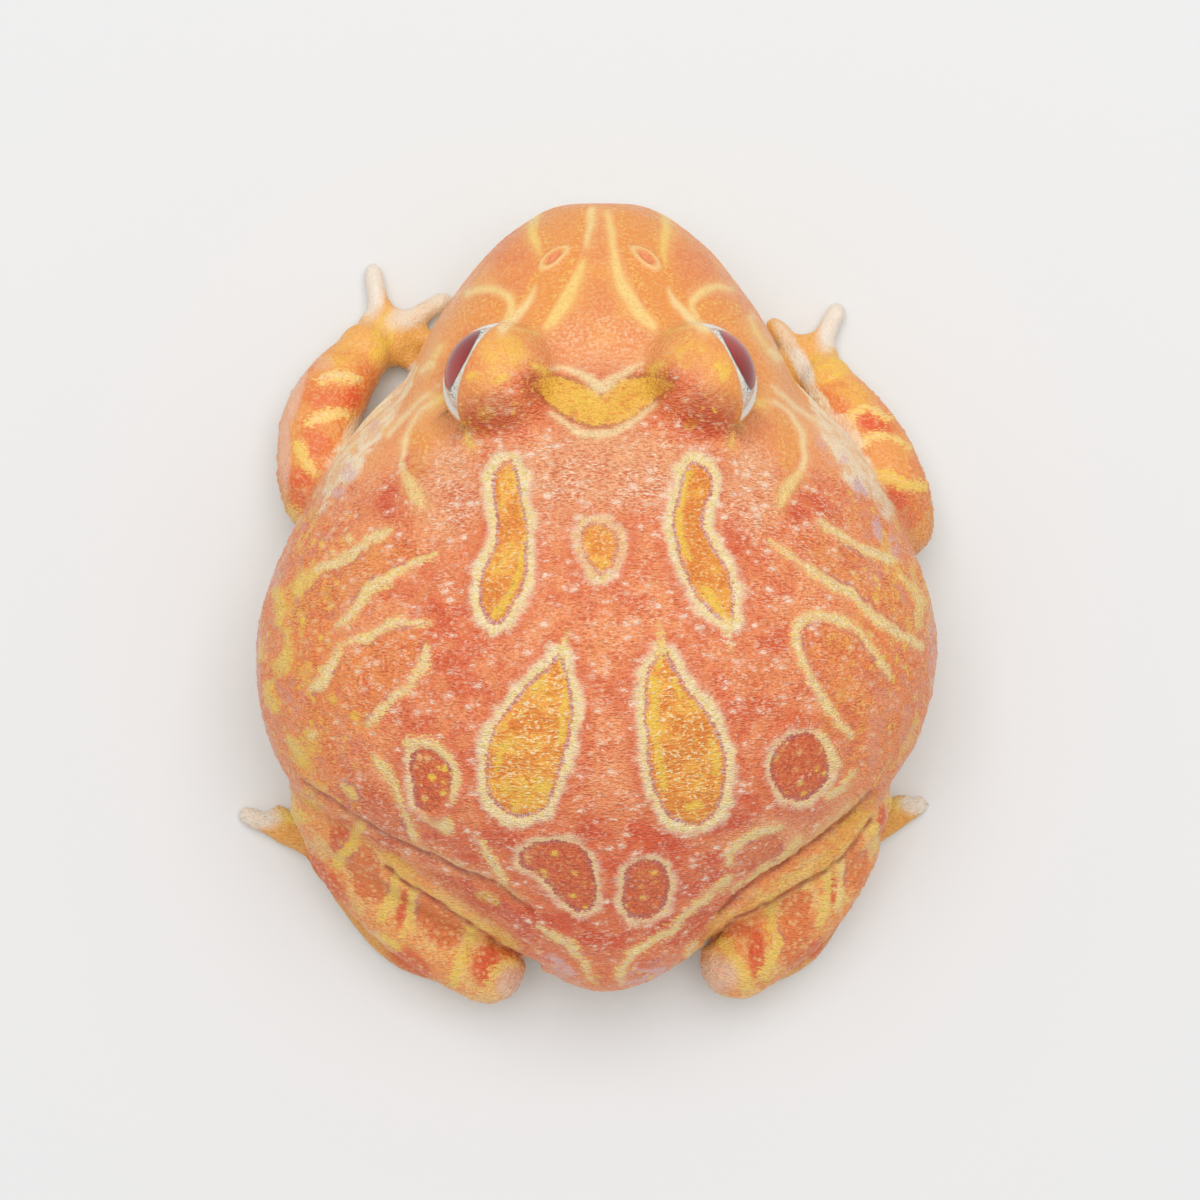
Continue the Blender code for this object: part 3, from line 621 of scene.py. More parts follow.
STREAKS = {
    "left_shoulder_edge": (1.0, ((512, 467, 2), (519, 486, 3), (523, 506, 3), (527, 530, 3), (522, 556, 3),
                                 (516, 580, 3), (505, 602, 4), (494, 613, 4))),
    "right_shoulder_edge": (1.0, ((689, 472, 4), (683, 488, 4), (679, 506, 4), (679, 528, 4), (683, 546, 3),
                                  (690, 560, 2))),
    "right_shoulder_end": (1.0, ((706, 588, 3), (715, 602, 4), (722, 614, 3))),
    "left_drop_edge": (1.0, ((561, 655, 4), (564, 672, 2), (564, 700, 2), (563, 720, 3), (561, 740, 3))),
    "left_drop_side": (1.0, ((505, 744, 2), (500, 756, 3), (498, 770, 2))),
    "left_drop_upper": (1.0, ((539, 682, 3), (530, 694, 1))),
    "left_drop_low": (1.0, ((505, 789, 3), (507, 792, 3))),
    "left_drop_base": (1.0, ((541, 787, 4), (548, 788, 3))),
    "left_drop_foot": (1.0, ((514, 803, 3), (515, 810, 3))),
    "right_drop_top": (1.0, ((659, 650, 4), (659, 665, 3))),
    "right_drop_edge": (1.0, ((652, 678, 2), (655, 690, 3), (654, 722, 4), (656, 740, 2), (660, 762, 4),
                              (664, 788, 3))),
    "right_drop_side": (1.0, ((712, 742, 2), (716, 760, 3), (716, 776, 2))),
    "right_drop_upper": (1.0, ((674, 680, 3), (683, 696, 2))),
    "right_drop_low": (1.0, ((686, 806, 3), (700, 803, 3))),
}

FOLDS = {
    "thigh_left": (0.0, ((303, 782, 0), (321, 794, 0), (339, 806, 0), (359, 821, 0), (387, 838, 0), (409, 848, 0),
                         (435, 859, 0), (463, 873, 0), (501, 890, 0), (531, 912, 0))),
    "shank_left": (0.0, ((385, 868, 0), (399, 878, 0), (425, 896, 0), (455, 916, 0), (485, 936, 0), (515, 954, 0),
                         (538, 966, 0))),
    "thigh_right": (0.0, ((720, 914, 0), (740, 894, 0), (764, 877, 0), (788, 861, 0), (808, 848, 0), (832, 830, 0),
                          (852, 815, 0), (872, 794, 0))),
    "shank_right": (0.0, ((872, 820, 0), (856, 842, 0), (840, 860, 0), (816, 878, 0), (784, 896, 0), (750, 914, 0),
                          (726, 928, 0), (708, 942, 0))),
}


class Tint(Enum):
    """A soft tint of the skin in some place."""

    # Deeper red skin, and painted shade behind the lid bumps and along the thigh folds.
    DEEP = "deep"
    BLUSH = "blush"
    EMBER = "ember"
    GILT = "gilt"
    UMBER = "umber"
    LILAC = "lilac"
    PALE = "pale"
    ROSY = "rosy"
    BARE = "bare"


@dataclass(frozen=True)
class Patch:
    """A soft-edged oval of tint on the picture.

    Its middle and its two half axes are in pixels, the first half axis turned by so many degrees
    from rightward to downward.
    """

    x: float
    y: float
    half_long: float
    half_wide: float
    turn: float
    strength: float
    clear_at: float = 1.35
    full_at: float = 0.55

    def weight(self, places: np.ndarray) -> np.ndarray:
        """Strength of the tint at places on the picture, one number each."""
        turn = math.radians(self.turn)
        offset = places - np.array([self.x, self.y])
        along = offset @ np.array([math.cos(turn), math.sin(turn)]) / self.half_long
        across = offset @ np.array([-math.sin(turn), math.cos(turn)]) / self.half_wide
        return self.strength * step(np.hypot(along, across), self.clear_at, self.full_at)


PATCHES = {
    Tint.UMBER: (
        (530, 386, 10, 15, 0, 0.65), (665, 384, 11, 14, 0, 0.6), (571, 419, 4, 5, 0, 0.6),
        (490, 413, 32, 22, 0, 0.75), (712, 409, 30, 22, 0, 0.7),
    ),
    Tint.BARE: (
        (436, 800, 16, 22, 0, 1.0), (600, 545, 34, 34, 0, 0.4),
    ),
    # Deeper red skin; the patches behind the lid bumps and along the thigh folds are also painted shade.
    Tint.DEEP: (
        (512, 262, 20, 34, 0, 0.28), (692, 264, 20, 34, 0, 0.28), (446, 590, 22, 50, -10, 0.35),
        (462, 520, 14, 50, 0, 0.4), (735, 520, 14, 46, 0, 0.4), (758, 660, 20, 60, 0, 0.3),
        (735, 815, 36, 18, -30, 0.7), (460, 840, 50, 20, 30, 0.7), (492, 425, 40, 16, 0, 0.7),
        (712, 425, 40, 16, 0, 0.7), (600, 900, 170, 90, 0, 0.62), (455, 700, 50, 90, 0, 0.25),
        (760, 700, 50, 90, 0, 0.2), (395, 500, 36, 16, -20, 0.5), (805, 505, 34, 16, 20, 0.5),
    ),
    Tint.BLUSH: (
        (600, 470, 120, 44, 0, 1.0), (560, 500, 60, 40, 0, 0.6), (600, 345, 60, 30, 0, 0.35),
        (450, 490, 34, 50, 0, 0.8), (748, 490, 30, 48, 0, 0.8),
    ),
    Tint.GILT: (
        (505, 350, 26, 20, 0, 0.6), (497, 375, 12, 9, 0, 1.0), (475, 377, 9, 6, 0, 1.0), (690, 355, 22, 14, 0, 0.6),
        (722, 368, 9, 14, 0, 1.0), (485, 414, 9, 9, 0, 0.8), (690, 424, 7, 7, 0, 0.7), (382, 338, 12, 26, 20, 1.0),
        (345, 355, 22, 12, -20, 0.6), (828, 368, 20, 16, 0, 1.0), (850, 392, 24, 12, 30, 0.5),
        (400, 865, 20, 8, 35, 0.9), (488, 898, 14, 7, 20, 0.9), (312, 800, 16, 8, 40, 0.9),
        (500, 935, 20, 7, 30, 0.7), (840, 842, 52, 12, -52, 0.9), (780, 888, 50, 10, -30, 0.7),
        (720, 922, 18, 8, -40, 0.6), (345, 455, 16, 8, -60, 0.8), (312, 515, 5, 9, 0, 1.0),
        (383, 422, 8, 14, 30, 0.7), (440, 790, 9, 7, 0, 0.4),
    ),
    Tint.EMBER: (
        (352, 398, 10, 12, 0, 1.0), (327, 399, 22, 10, 0, 0.5), (318, 442, 12, 16, 0, 0.5),
        (300, 490, 12, 24, 0, 0.7), (872, 423, 22, 8, 22, 1.0), (896, 500, 14, 12, 40, 0.9),
        (906, 520, 12, 10, 0, 0.5), (328, 878, 9, 34, -38, 0.9), (403, 906, 6, 20, 12, 1.0),
        (410, 962, 26, 12, 32, 0.9), (485, 964, 13, 22, 15, 1.0), (339, 834, 8, 14, 0, 0.9),
        (757, 953, 9, 30, -5, 1.0), (740, 930, 12, 8, -20, 0.7), (833, 888, 4, 22, 0, 1.0),
        (881, 820, 5, 14, 0, 1.0), (815, 948, 13, 9, -50, 0.9), (842, 926, 30, 6, -52, 0.5),
    ),
    Tint.LILAC: (
        (349, 471, 7, 11, 0, 0.8), (338, 493, 7, 6, 0, 0.7), (375, 427, 6, 8, 0, 0.6), (365, 412, 8, 5, -40, 0.5),
        (324, 536, 8, 5, 0, 0.5), (257, 640, 5, 70, 0, 0.6), (274, 575, 6, 16, 0, 0.7), (859, 489, 9, 12, 0, 1.0),
        (843, 460, 5, 10, 0, 0.9), (877, 528, 5, 14, -15, 0.9), (893, 546, 5, 12, -15, 0.7),
        (822, 446, 5, 20, -28, 0.5), (932, 640, 5, 50, 0, 0.6), (560, 968, 22, 8, 35, 0.9),
        (648, 972, 30, 9, -25, 0.9),
    ),
    Tint.PALE: (
        (404, 386, 26, 7, -60, 1.0), (384, 412, 24, 12, -52, 1.0), (362, 436, 24, 18, -52, 1.0),
        (346, 462, 26, 18, -60, 0.9), (328, 492, 24, 12, -60, 0.7), (803, 368, 26, 8, 66, 1.0),
        (822, 408, 26, 10, 58, 1.0), (842, 438, 30, 18, 58, 1.0), (856, 468, 30, 17, 60, 1.0),
        (882, 500, 26, 9, 64, 0.7), (370, 280, 16, 38, 0, 1.0), (424, 306, 42, 16, -28, 0.62),
        (836, 320, 15, 32, 22, 1.0), (790, 345, 34, 8, 62, 0.5), (250, 813, 30, 16, 10, 0.9),
        (922, 800, 22, 14, -10, 0.9),
    ),
    Tint.ROSY: (
        (297, 390, 7, 40, 14, 0.8), (285, 448, 6, 44, 0, 0.8), (322, 363, 12, 8, 0, 0.4),
        (842, 425, 6, 22, -40, 0.6), (716, 975, 22, 20, 0, 1.0), (512, 985, 16, 18, 0, 1.0),
    ),
}


MARKS = {
    MarkKind.BLOTCH: BLOTCHES,
    MarkKind.ZONE: ZONES,
    MarkKind.LINE: LINES,
    MarkKind.BAND: BANDS,
    MarkKind.STREAK: STREAKS,
    MarkKind.FOLD: FOLDS,
}


@dataclass(frozen=True)
class Pattern:
    """All the markings, and how they are laid on the skin through the photograph's camera."""

    view: PhotoView
    reach: float = 60.0

    def measure(self, places: np.ndarray) -> dict[str, np.ndarray]:
        """Signed distances from the edges of the markings.

        Args:
            places: Places on the picture in pixels, one row each.

        Returns:
            For each kind of marking the distance in millimetres, negative inside, under its
            name, the tone of the nearest one under its name and "_tone", and for blotches the
            nearest place on the edge under "edge_x" and "edge_y".
        """
        fields = {}
        for kind, table in MARKS.items():
            away = np.full(len(places), self.reach)
            tone = np.zeros(len(places))
            foot = places.copy()
            for mark in itertools.starmap(Mark, table.values()):
                chain = mark.chain()
                low = chain[:, :2].min(axis=0) - self.reach
                high = chain[:, :2].max(axis=0) + self.reach
                near = np.nonzero(((places > low) & (places < high)).all(axis=1))[0]
                least = np.full(len(near), np.inf)
                which = np.zeros(len(near), int)
                for number, (x, y, radius) in enumerate(chain):
                    gap = np.hypot(places[near, 0] - x, places[near, 1] - y) - radius
                    which[gap < least] = number
                    np.minimum(least, gap, out=least)
                closer = least < away[near]
                away[near[closer]] = least[closer]
                tone[near[closer]] = mark.tone
                disc = chain[which[closer]]
                ray = places[near[closer]] - disc[:, :2]
                ray /= np.maximum(np.linalg.norm(ray, axis=1, keepdims=True), 1e-6)
                foot[near[closer]] = disc[:, :2] + ray * disc[:, 2:]
            fields[kind.value] = away * self.view.pixel
            fields[kind.value + "_tone"] = tone
            if kind is MarkKind.BLOTCH:
                fields["edge_x"], fields["edge_y"] = foot.T * self.view.pixel
        return fields

    def tints(self, places: np.ndarray) -> dict[str, np.ndarray]:
        """Strength of each tint at places on the picture, by the tint's name."""
        return {
            tint.value: np.maximum.reduce([Patch(*row).weight(places) for row in rows])
            for tint, rows in PATCHES.items()
        }


class Surface:
    """Points of a mesh in millimetres, with its edges for smoothing."""

    def __init__(self, mesh: bpy.types.Mesh) -> None:
        """Reads a mesh.

        Args:
            mesh: The mesh to work on.
        """
        self.mesh = mesh
        places = np.empty(len(mesh.vertices) * 3)
        mesh.vertices.foreach_get("co", places)
        self.points = places.reshape(-1, 3) / MM
        ends = np.empty(len(mesh.edges) * 2, np.int32)
        mesh.edges.foreach_get("vertices", ends)
        self.ends = ends.reshape(-1, 2)
        self.degree = np.bincount(ends, minlength=len(mesh.vertices))

    def around(self, values: np.ndarray) -> np.ndarray:
        """Mean of each point's neighbours.

        Args:
            values: One row of numbers for each point.

        Returns:
            An array of the same shape.
        """
        first, second = self.ends.T
        mean = np.empty_like(values)
        for k in range(values.shape[1]):
            column = values[:, k]
            total = np.bincount(first, column[second], len(column))
            total += np.bincount(second, column[first], len(column))
            mean[:, k] = total / self.degree
        return mean

    def spread(self, values: np.ndarray, rounds: int, strength: float | np.ndarray = 0.5) -> np.ndarray:
        """Values smoothed over the surface.

        Args:
            values: One row of numbers for each point.
            rounds: How many times they are mixed with their neighbours.
            strength: Share of the neighbours each time, one number or a column.

        Returns:
            The smoothed values.
        """
        for _ in range(rounds):
            values = values + strength * (self.around(values) - values)
        return values

    def store(self) -> None:
        """Writes the points back to the mesh."""
        self.mesh.vertices.foreach_set("co", (self.points * MM).ravel())
        self.mesh.update()

    def normals(self) -> np.ndarray:
        """Unit vector out of the surface at each point, as it stands now."""
        self.store()
        made = np.empty(len(self.points) * 3)
        self.mesh.vertex_normals.foreach_get("vector", made)
        return made.reshape(-1, 3)

    def keep(self, name: str, values: np.ndarray) -> None:
        """Stores one number for each point on the mesh under this name."""
        layer = self.mesh.attributes.get(name) or self.mesh.attributes.new(name, "FLOAT", "POINT")
        layer.data.foreach_set("value", values.astype(np.float32))

    def kept(self, name: str) -> np.ndarray:
        """Numbers that the mesh has stored under this name."""
        made = np.empty(len(self.points), np.float32)
        self.mesh.attributes[name].data.foreach_get("value", made)
        return made.astype(float)


def settled(obj: bpy.types.Object) -> bpy.types.Object:
    """Applies the object's modifiers to its mesh and returns it."""
    graph = bpy.context.evaluated_depsgraph_get()
    mesh = bpy.data.meshes.new_from_object(obj.evaluated_get(graph), depsgraph=graph)
    obj.modifiers.clear()
    old, obj.data = obj.data, mesh
    bpy.data.meshes.remove(old)
    return obj


@dataclass(frozen=True)
class EyePlace:
    """Where an eye sits, and which way the gap between its lids faces."""

    name: str
    side: int
    forward_turn: float = math.radians(25.0)
    upward_turn: float = math.radians(19.0)

    @property
    def centre(self) -> np.ndarray:
        """Middle of the ball."""
        low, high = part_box(self.name)
        return np.array((low + high) / 2) / MM

    @property
    def radius(self) -> float:
        """Radius of the ball."""
        low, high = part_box(self.name)
        return max(high - low) / 2 / MM

    def axes(self, forward: float | None = None, upward: float | None = None) -> np.ndarray:
        """Unit vectors of the eye.

        Args:
            forward: Turn of its axis towards the snout, or that of the lids.
            upward: Turn of its axis above the level, or that of the lids.

        Returns:
            Along the gap between the lids, across it upwards, and out along the axis, one row each.
        """
        ahead = self.forward_turn if forward is None else forward
        above = self.upward_turn if upward is None else upward
        level = math.cos(above)
        axis = np.array([self.side * math.cos(ahead) * level, -math.sin(ahead) * level, math.sin(above)])
        along = np.cross([0.0, 0.0, 1.0], axis)
        along /= np.linalg.norm(along)
        return np.stack([along, np.cross(axis, along), axis])


EYES = (EyePlace("eye_left", 1), EyePlace("eye_right", -1))


@dataclass(frozen=True)
class Lids:
    """Lids of one eye: an almond opening on the ball, with a rounded rim."""

    eye: EyePlace
    half_long: float = 6.0
    half_high: float = 3.8
    pinch: float = 1.25
    corners: int = 56
    rim_profile: tuple[tuple[float, float], ...] = (
        (-3.0, -1.5), (-0.6, -0.8), (0.4, 0.55), (0.75, 0.85), (1.2, 0.95), (2.0, 0.95),
    )

    def outline(self) -> np.ndarray:
        """Opening as lengths along the ball from its axis, one corner in each row."""
        turn = np.linspace(0, 2 * math.pi, self.corners, endpoint=False)
        flat = np.stack([
            self.half_long * np.cos(turn),
            self.half_high * np.sign(np.sin(turn)) * np.abs(np.sin(turn)) ** self.pinch,
        ], axis=1)
        far = np.linalg.norm(flat, axis=1, keepdims=True)
        return flat / far * np.arcsin(far / self.eye.radius) * self.eye.radius

    def distance(self, points: np.ndarray) -> np.ndarray:
        """Distance along the ball from the edge of the opening, negative inside it.

        Args:
            points: Places in millimetres, one row each.

        Returns:
            One number for each point.
        """
        along, across, axis = self.eye.axes()
        ray = points - self.eye.centre
        ray = ray / np.linalg.norm(ray, axis=1, keepdims=True)
        angle = np.arccos(np.clip(ray @ axis, -1, 1))
        level = np.stack([ray @ along, ray @ across], axis=1)
        level /= np.maximum(np.linalg.norm(level, axis=1, keepdims=True), 1e-9)
        place = level * angle[:, None] * self.eye.radius
        nearest = np.full(len(points), np.inf)
        inside = np.zeros(len(points), bool)
        corners = self.outline()
        for start, end in zip(corners, np.roll(corners, -1, axis=0)):
            edge, offset = end - start, place - start
            share = np.clip(offset @ edge / (edge @ edge), 0, 1)[:, None]
            nearest = np.minimum(nearest, np.linalg.norm(offset - share * edge, axis=1))
            crosses = (start[1] > place[:, 1]) != (end[1] > place[:, 1])
            rise = np.where(crosses, (place[:, 1] - start[1]) / (end[1] - start[1] + 1e-12), 0)
            inside ^= crosses & (place[:, 0] < start[0] + rise * edge[0])
        return np.where(inside, -nearest, nearest)

    def shape(self, points: np.ndarray) -> np.ndarray:
        """Opens the lids over the ball.

        Args:
            points: Places of the skin, which are moved.

        Returns:
            The distance of each point from the edge of the opening, large away from the eye.
        """
        ray = points - self.eye.centre
        far = np.linalg.norm(ray, axis=1)
        away = np.full(len(points), 20.0)
        near = far < self.eye.radius + 4.0
        away[near] = self.distance(points[near])
        stops, heights = zip(*self.rim_profile)
        target = self.eye.radius + np.interp(away, stops, heights)
        hold = step(away, 3.2, 1.2) * near
        moved = far + hold * (target - far)
        close = near & (away > 0.4) & (moved < self.eye.radius + 0.45) & (ray @ self.eye.axes()[2] > -2.0)
        moved[close] = self.eye.radius + 0.45
        points += ray / far[:, None] * (moved - far)[:, None]
        return away


@dataclass(frozen=True)
class Nostril:
    """One nostril: a shallow slanting slit in a raised oval rim."""

    side: int
    centre: tuple[float, float, float] = (5.5, -42.6, 30.6)
    axis: tuple[float, float, float] = (0.45, -0.35, 0.82)
    along: tuple[float, float, float] = (-0.62, -0.78, 0.0)
    half_long: float = 1.05
    half_wide: float = 0.5
    depth: float = 0.5
    rim: float = 0.24

    def spread(self, points: np.ndarray) -> np.ndarray:
        """Distance of each point from the slit's middle, 1 at its edge."""
        mirror = np.array([self.side, 1, 1])
        axis = np.array(self.axis) * mirror
        axis /= np.linalg.norm(axis)
        along = np.array(self.along) * mirror
        along -= axis * (along @ axis)
        along /= np.linalg.norm(along)
        offset = points - np.array(self.centre) * mirror
        across = np.cross(axis, along)
        far = np.hypot(offset @ along / self.half_long, offset @ across / self.half_wide)
        return np.where(np.linalg.norm(offset, axis=1) < 5.0, far, 20.0)

    def shape(self, points: np.ndarray, normals: np.ndarray) -> np.ndarray:
        """Sinks the slit and raises its rim.

        Args:
            points: Places of the skin, which are moved.
            normals: Unit vectors out of the skin.

        Returns:
            Distance from the middle of the slit, 1 at its edge, for each point.
        """
        far = self.spread(points)
        lift = self.rim * bell(far, 1.75, 0.6) - self.depth * step(far, 1.25, 0.35)
        points += normals * lift[:, None]
        return far


@dataclass(frozen=True)
class Mouth:
    """Line of the mouth with its lips, from corner to corner round the snout."""

    corner_y: float = -16.5
    line_stops: tuple[tuple[float, float], ...] = (
        (-51.6, 18.5), (-45.5, 18.3), (-40.5, 18.0), (-35.5, 17.6), (-30.0, 17.0), (-24.0, 16.4), (-18.0, 15.5),
        (-14.0, 14.2),
    )
    crease: float = 0.75
    crease_reach: float = 0.42
    lip_lift: float = 0.4
    lip_reach: float = 1.1
    lip_rise: float = 1.45

    def height(self, points: np.ndarray) -> np.ndarray:
        """Height of each point above the line of the mouth."""
        stops, heights = zip(*self.line_stops)
        return points[:, 2] - np.interp(points[:, 1], stops, heights)

    def shape(self, points: np.ndarray, normals: np.ndarray, head: np.ndarray) -> np.ndarray:
        """Sinks the line of the mouth and fills the lips beside it.

        Args:
            points: Places of the skin, which are moved.
            normals: Unit vectors out of the skin.
            head: How far each point belongs to the head, from 0 to 1.

        Returns:
            How strongly each point belongs to the mouth's line, from 0 to 1.
        """
        above = self.height(points)
        reach = step(points[:, 1], self.corner_y + 1.5, self.corner_y - 4.0) * head
        lips = bell(above, self.lip_rise, self.lip_reach) + 0.8 * bell(above, -self.lip_rise, self.lip_reach)
        sunk = bell(above, 0.0, self.crease_reach)
        points += normals * ((self.lip_lift * lips - self.crease * sunk) * reach)[:, None]
        return sunk * reach


@dataclass(frozen=True)
class Relief:
    """Fine relief of the skin: soft swells, wrinkles across the body, and warts."""

    swell: float = 0.16
    wrinkle: float = 0.095
    wrinkle_size: tuple[float, float, float] = (2.6, 0.75, 2.6)
    ring: float = 0.14
    line: float = 0.12
    fold: float = 0.45
    fold_reach: float = 0.5
    warts: tuple[tuple[float, float, float, float], ...] = (
        (3.2, 0.8, 0.3, 0.5), (1.8, 0.5, 0.2, 0.7), (1.1, 0.34, 0.14, 0.8),
    )

    def wart_field(self, points: np.ndarray) -> tuple[np.ndarray, np.ndarray]:
        """Warts of every size strewn over the skin.

        Args:
            points: Places of the skin.

        Returns:
            The height of the warts and how far each point lies on one, from 0 to 1.
        """
        height = np.zeros(len(points))
        crown = np.zeros(len(points))
        for number, (spacing, radius, rise, share) in enumerate(self.warts):
            away, kind = scattered(points, spacing, seed=31 + 10 * number)
            width = radius * (0.7 + 0.6 * kind)
            dome = np.clip(1 - (away / width) ** 2, 0, 1) * (kind < share)
            height = np.maximum(height, rise * dome)
            crown = np.maximum(crown, dome)
        return height, crown

    def shape(self, points: np.ndarray, normals: np.ndarray, fields: Mapping[str, np.ndarray]) -> np.ndarray:
        """Raises the relief.

        Args:
            points: Places of the skin, which are moved.
            normals: Unit vectors out of the skin.
            fields: What the skin carries at each point, by name.

        Returns:
            How far each point lies on a wart, from 0 to 1.
        """
        rest = points.copy()
        smooth = np.maximum(fields["calm"], 0.75 * fields["under"])
        ridged = 1 - np.abs(noise(rest, self.wrinkle_size, 5))
        fine = 1 - np.abs(noise(rest, np.array(self.wrinkle_size) * 0.55, 6))
        wrinkles = self.wrinkle * (ridged**2 + 0.7 * fine**2 - 0.8)
        wrinkles *= 1 - 0.6 * fields["face"]
        swells = self.swell * (noise(rest, 4.5, 11) + 0.5 * noise(rest, 2.4, 12)) * (1 - 0.5 * fields["head"])
        height, crown = self.wart_field(rest)
        plenty = (1 - 0.75 * fields["head"]) * (step(fields["blotch"], 0.1, 1.6) * 0.8 + 0.2)
        plenty = np.maximum(plenty, step(fields["blotch"], 0.0, -0.6) * step(fields["blotch_tone"], 0.5, 0.9))
        edge = self.ring * bell(fields["blotch"], 1.0, 0.7) - 0.5 * self.ring * bell(fields["blotch"], 0.0, 0.35)
        edge = edge + self.line * step(fields["line"], 0.5, -0.3)
        edge = edge - self.fold * bell(fields["fold"], 0.0, self.fold_reach)
        edge = edge + 0.5 * self.fold * bell(fields["fold"], 1.1, 0.6)
        plenty *= 1 - 0.5 * fields["side"]
        lift = (wrinkles + swells + height * plenty + edge * (1 - fields["under"])) * (1 - smooth)
        points += normals * lift[:, None]
        return crown * plenty * (1 - fields["calm"])


@dataclass
class Skin:
    """The one skin of the animal, grown over the solids of its flesh."""

    pattern: Pattern
    swell: float = 0.22
    coarse: float = 0.52
    settle: float = 0.2
    plug: float = 0.65
    smoothing_rounds: int = 70
    wobble: float = 1.5
    regions: tuple[str, ...] = ("torso", "head", "upper_arm", "forearm", "hand", "thigh", "shank", "foot")
    firmness: tuple[float, ...] = (1.0, 0.26, 0.3, 0.3, 0.06, 0.3, 0.3, 0.06)
    clouds: tuple[tuple[str, tuple[float, float, float]], ...] = (
        ("cloud", (5.5, 5.5, 5.5)), ("glow", (2.4, 2.4, 2.4)), ("speck", (1.3, 1.3, 1.3)), ("tall", (2.0, 3.2, 4.4)),
    )
    mouth: Mouth = field(default_factory=Mouth)
    relief: Relief = field(default_factory=Relief)

    def flesh(self) -> list[str]:
        """Names of the nodes that this skin stands for."""
        eyes = {eye.name for eye in EYES}
        return sorted(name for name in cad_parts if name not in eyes)

    def region_of(self, node: str) -> int:
        """Number of the region that a node belongs to."""
        return self.regions.index(node.removesuffix("_left").removesuffix("_right"))

    def bulk(self) -> tuple[bpy.types.Object, BVHTree, list[int]]:
        """Flesh of the frame, each piece swollen so that they meet, with the sockets plugged.

        Returns:
            The joined pieces, a tree of their unswollen faces, and the region of each face.
        """
        joined = bmesh.new()
        corners, faces, owners = [], [], []
        for name in self.flesh():
            piece = bmesh.new()
            piece.from_mesh(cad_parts[name].data)
            bmesh.ops.remove_doubles(piece, verts=piece.verts, dist=1e-6)
            piece.normal_update()
            start = len(corners)
            corners += [vert.co.copy() for vert in piece.verts]
            faces += [[start + vert.index for vert in face.verts] for face in piece.faces]
            owners += [self.region_of(name)] * len(piece.faces)
            for vert in piece.verts:
                vert.co += vert.normal * self.swell * MM
            mesh = bpy.data.meshes.new("swollen")
            piece.to_mesh(mesh)
            piece.free()
            joined.from_mesh(mesh)
            bpy.data.meshes.remove(mesh)
        for eye in EYES:
            place = Matrix.Translation(Vector(eye.centre) * MM)
            bmesh.ops.create_icosphere(joined, subdivisions=4, radius=(eye.radius + self.plug) * MM, matrix=place)
        mesh = bpy.data.meshes.new("skin")
        joined.to_mesh(mesh)
        joined.free()
        skin = bpy.data.objects.new("skin", mesh)
        bpy.context.scene.collection.objects.link(skin)
        return skin, BVHTree.FromPolygons(corners, faces), owners

    def region_weights(self, surface: Surface, tree: BVHTree, owners: list[int]) -> np.ndarray:
        """How far each point belongs to each region, one column for each region."""
        weights = np.zeros((len(surface.points), len(self.regions)))
        for row, point in enumerate(surface.points * MM):
            face = tree.find_nearest(point)[2]
            weights[row, owners[face]] = 1.0
        return surface.spread(weights, 14)

    def even(self) -> bpy.types.Object:
        """Grows one even skin over the flesh and smooths it.

        Returns:
            The skin, with how far each point belongs to each region stored on it.
        """
        skin, tree, owners = self.bulk()
        remesh = skin.modifiers.new("remesh", "REMESH")
        remesh.mode = "VOXEL"
        remesh.voxel_size = self.coarse * MM
        surface = Surface(settled(skin).data)
        weights = self.region_weights(surface, tree, owners)
        trunk = weights[:, 0] + weights[:, 1]
        fold = 4 * trunk * (1 - trunk)
        strength = (weights @ np.array(self.firmness)) * (1 - 0.9 * np.clip(fold, 0, 1))
        neck = np.clip(4 * weights[:, 0] * weights[:, 1], 0, 1)
        strength = np.maximum(strength, neck * step(surface.points[:, 2], 16.0, 24.0))
        surface.points = surface.spread(surface.points, self.smoothing_rounds, 0.5 * strength[:, None])
        surface.store()
        for name, column in zip(self.regions, weights.T):
            surface.keep(name, column)
        finer = skin.modifiers.new("finer", "SUBSURF")
        finer.levels = 1
        finer.render_levels = 1
        return settled(skin)

    def heights(self, surface: Surface, normals: np.ndarray, head: np.ndarray) -> np.ndarray:
        """How far each point belongs to the pale underside, from 0 to 1."""
        points = surface.points
        wander = 1.6 * noise(points, 9.0, 3) + 0.8 * noise(points, 4.0, 4)
        level = 9.0 + 3.0 * step(points[:, 1], -5.0, -16.0) * (1 - head)
        under = step(points[:, 2] + wander + 4.0 * normals[:, 2], level + 3.5, level - 3.0)
        jaw = step(self.mouth.height(points), -0.1, -1.0)
        return under * (1 - head) + np.maximum(jaw, step(normals[:, 2], -0.3, -0.8)) * head

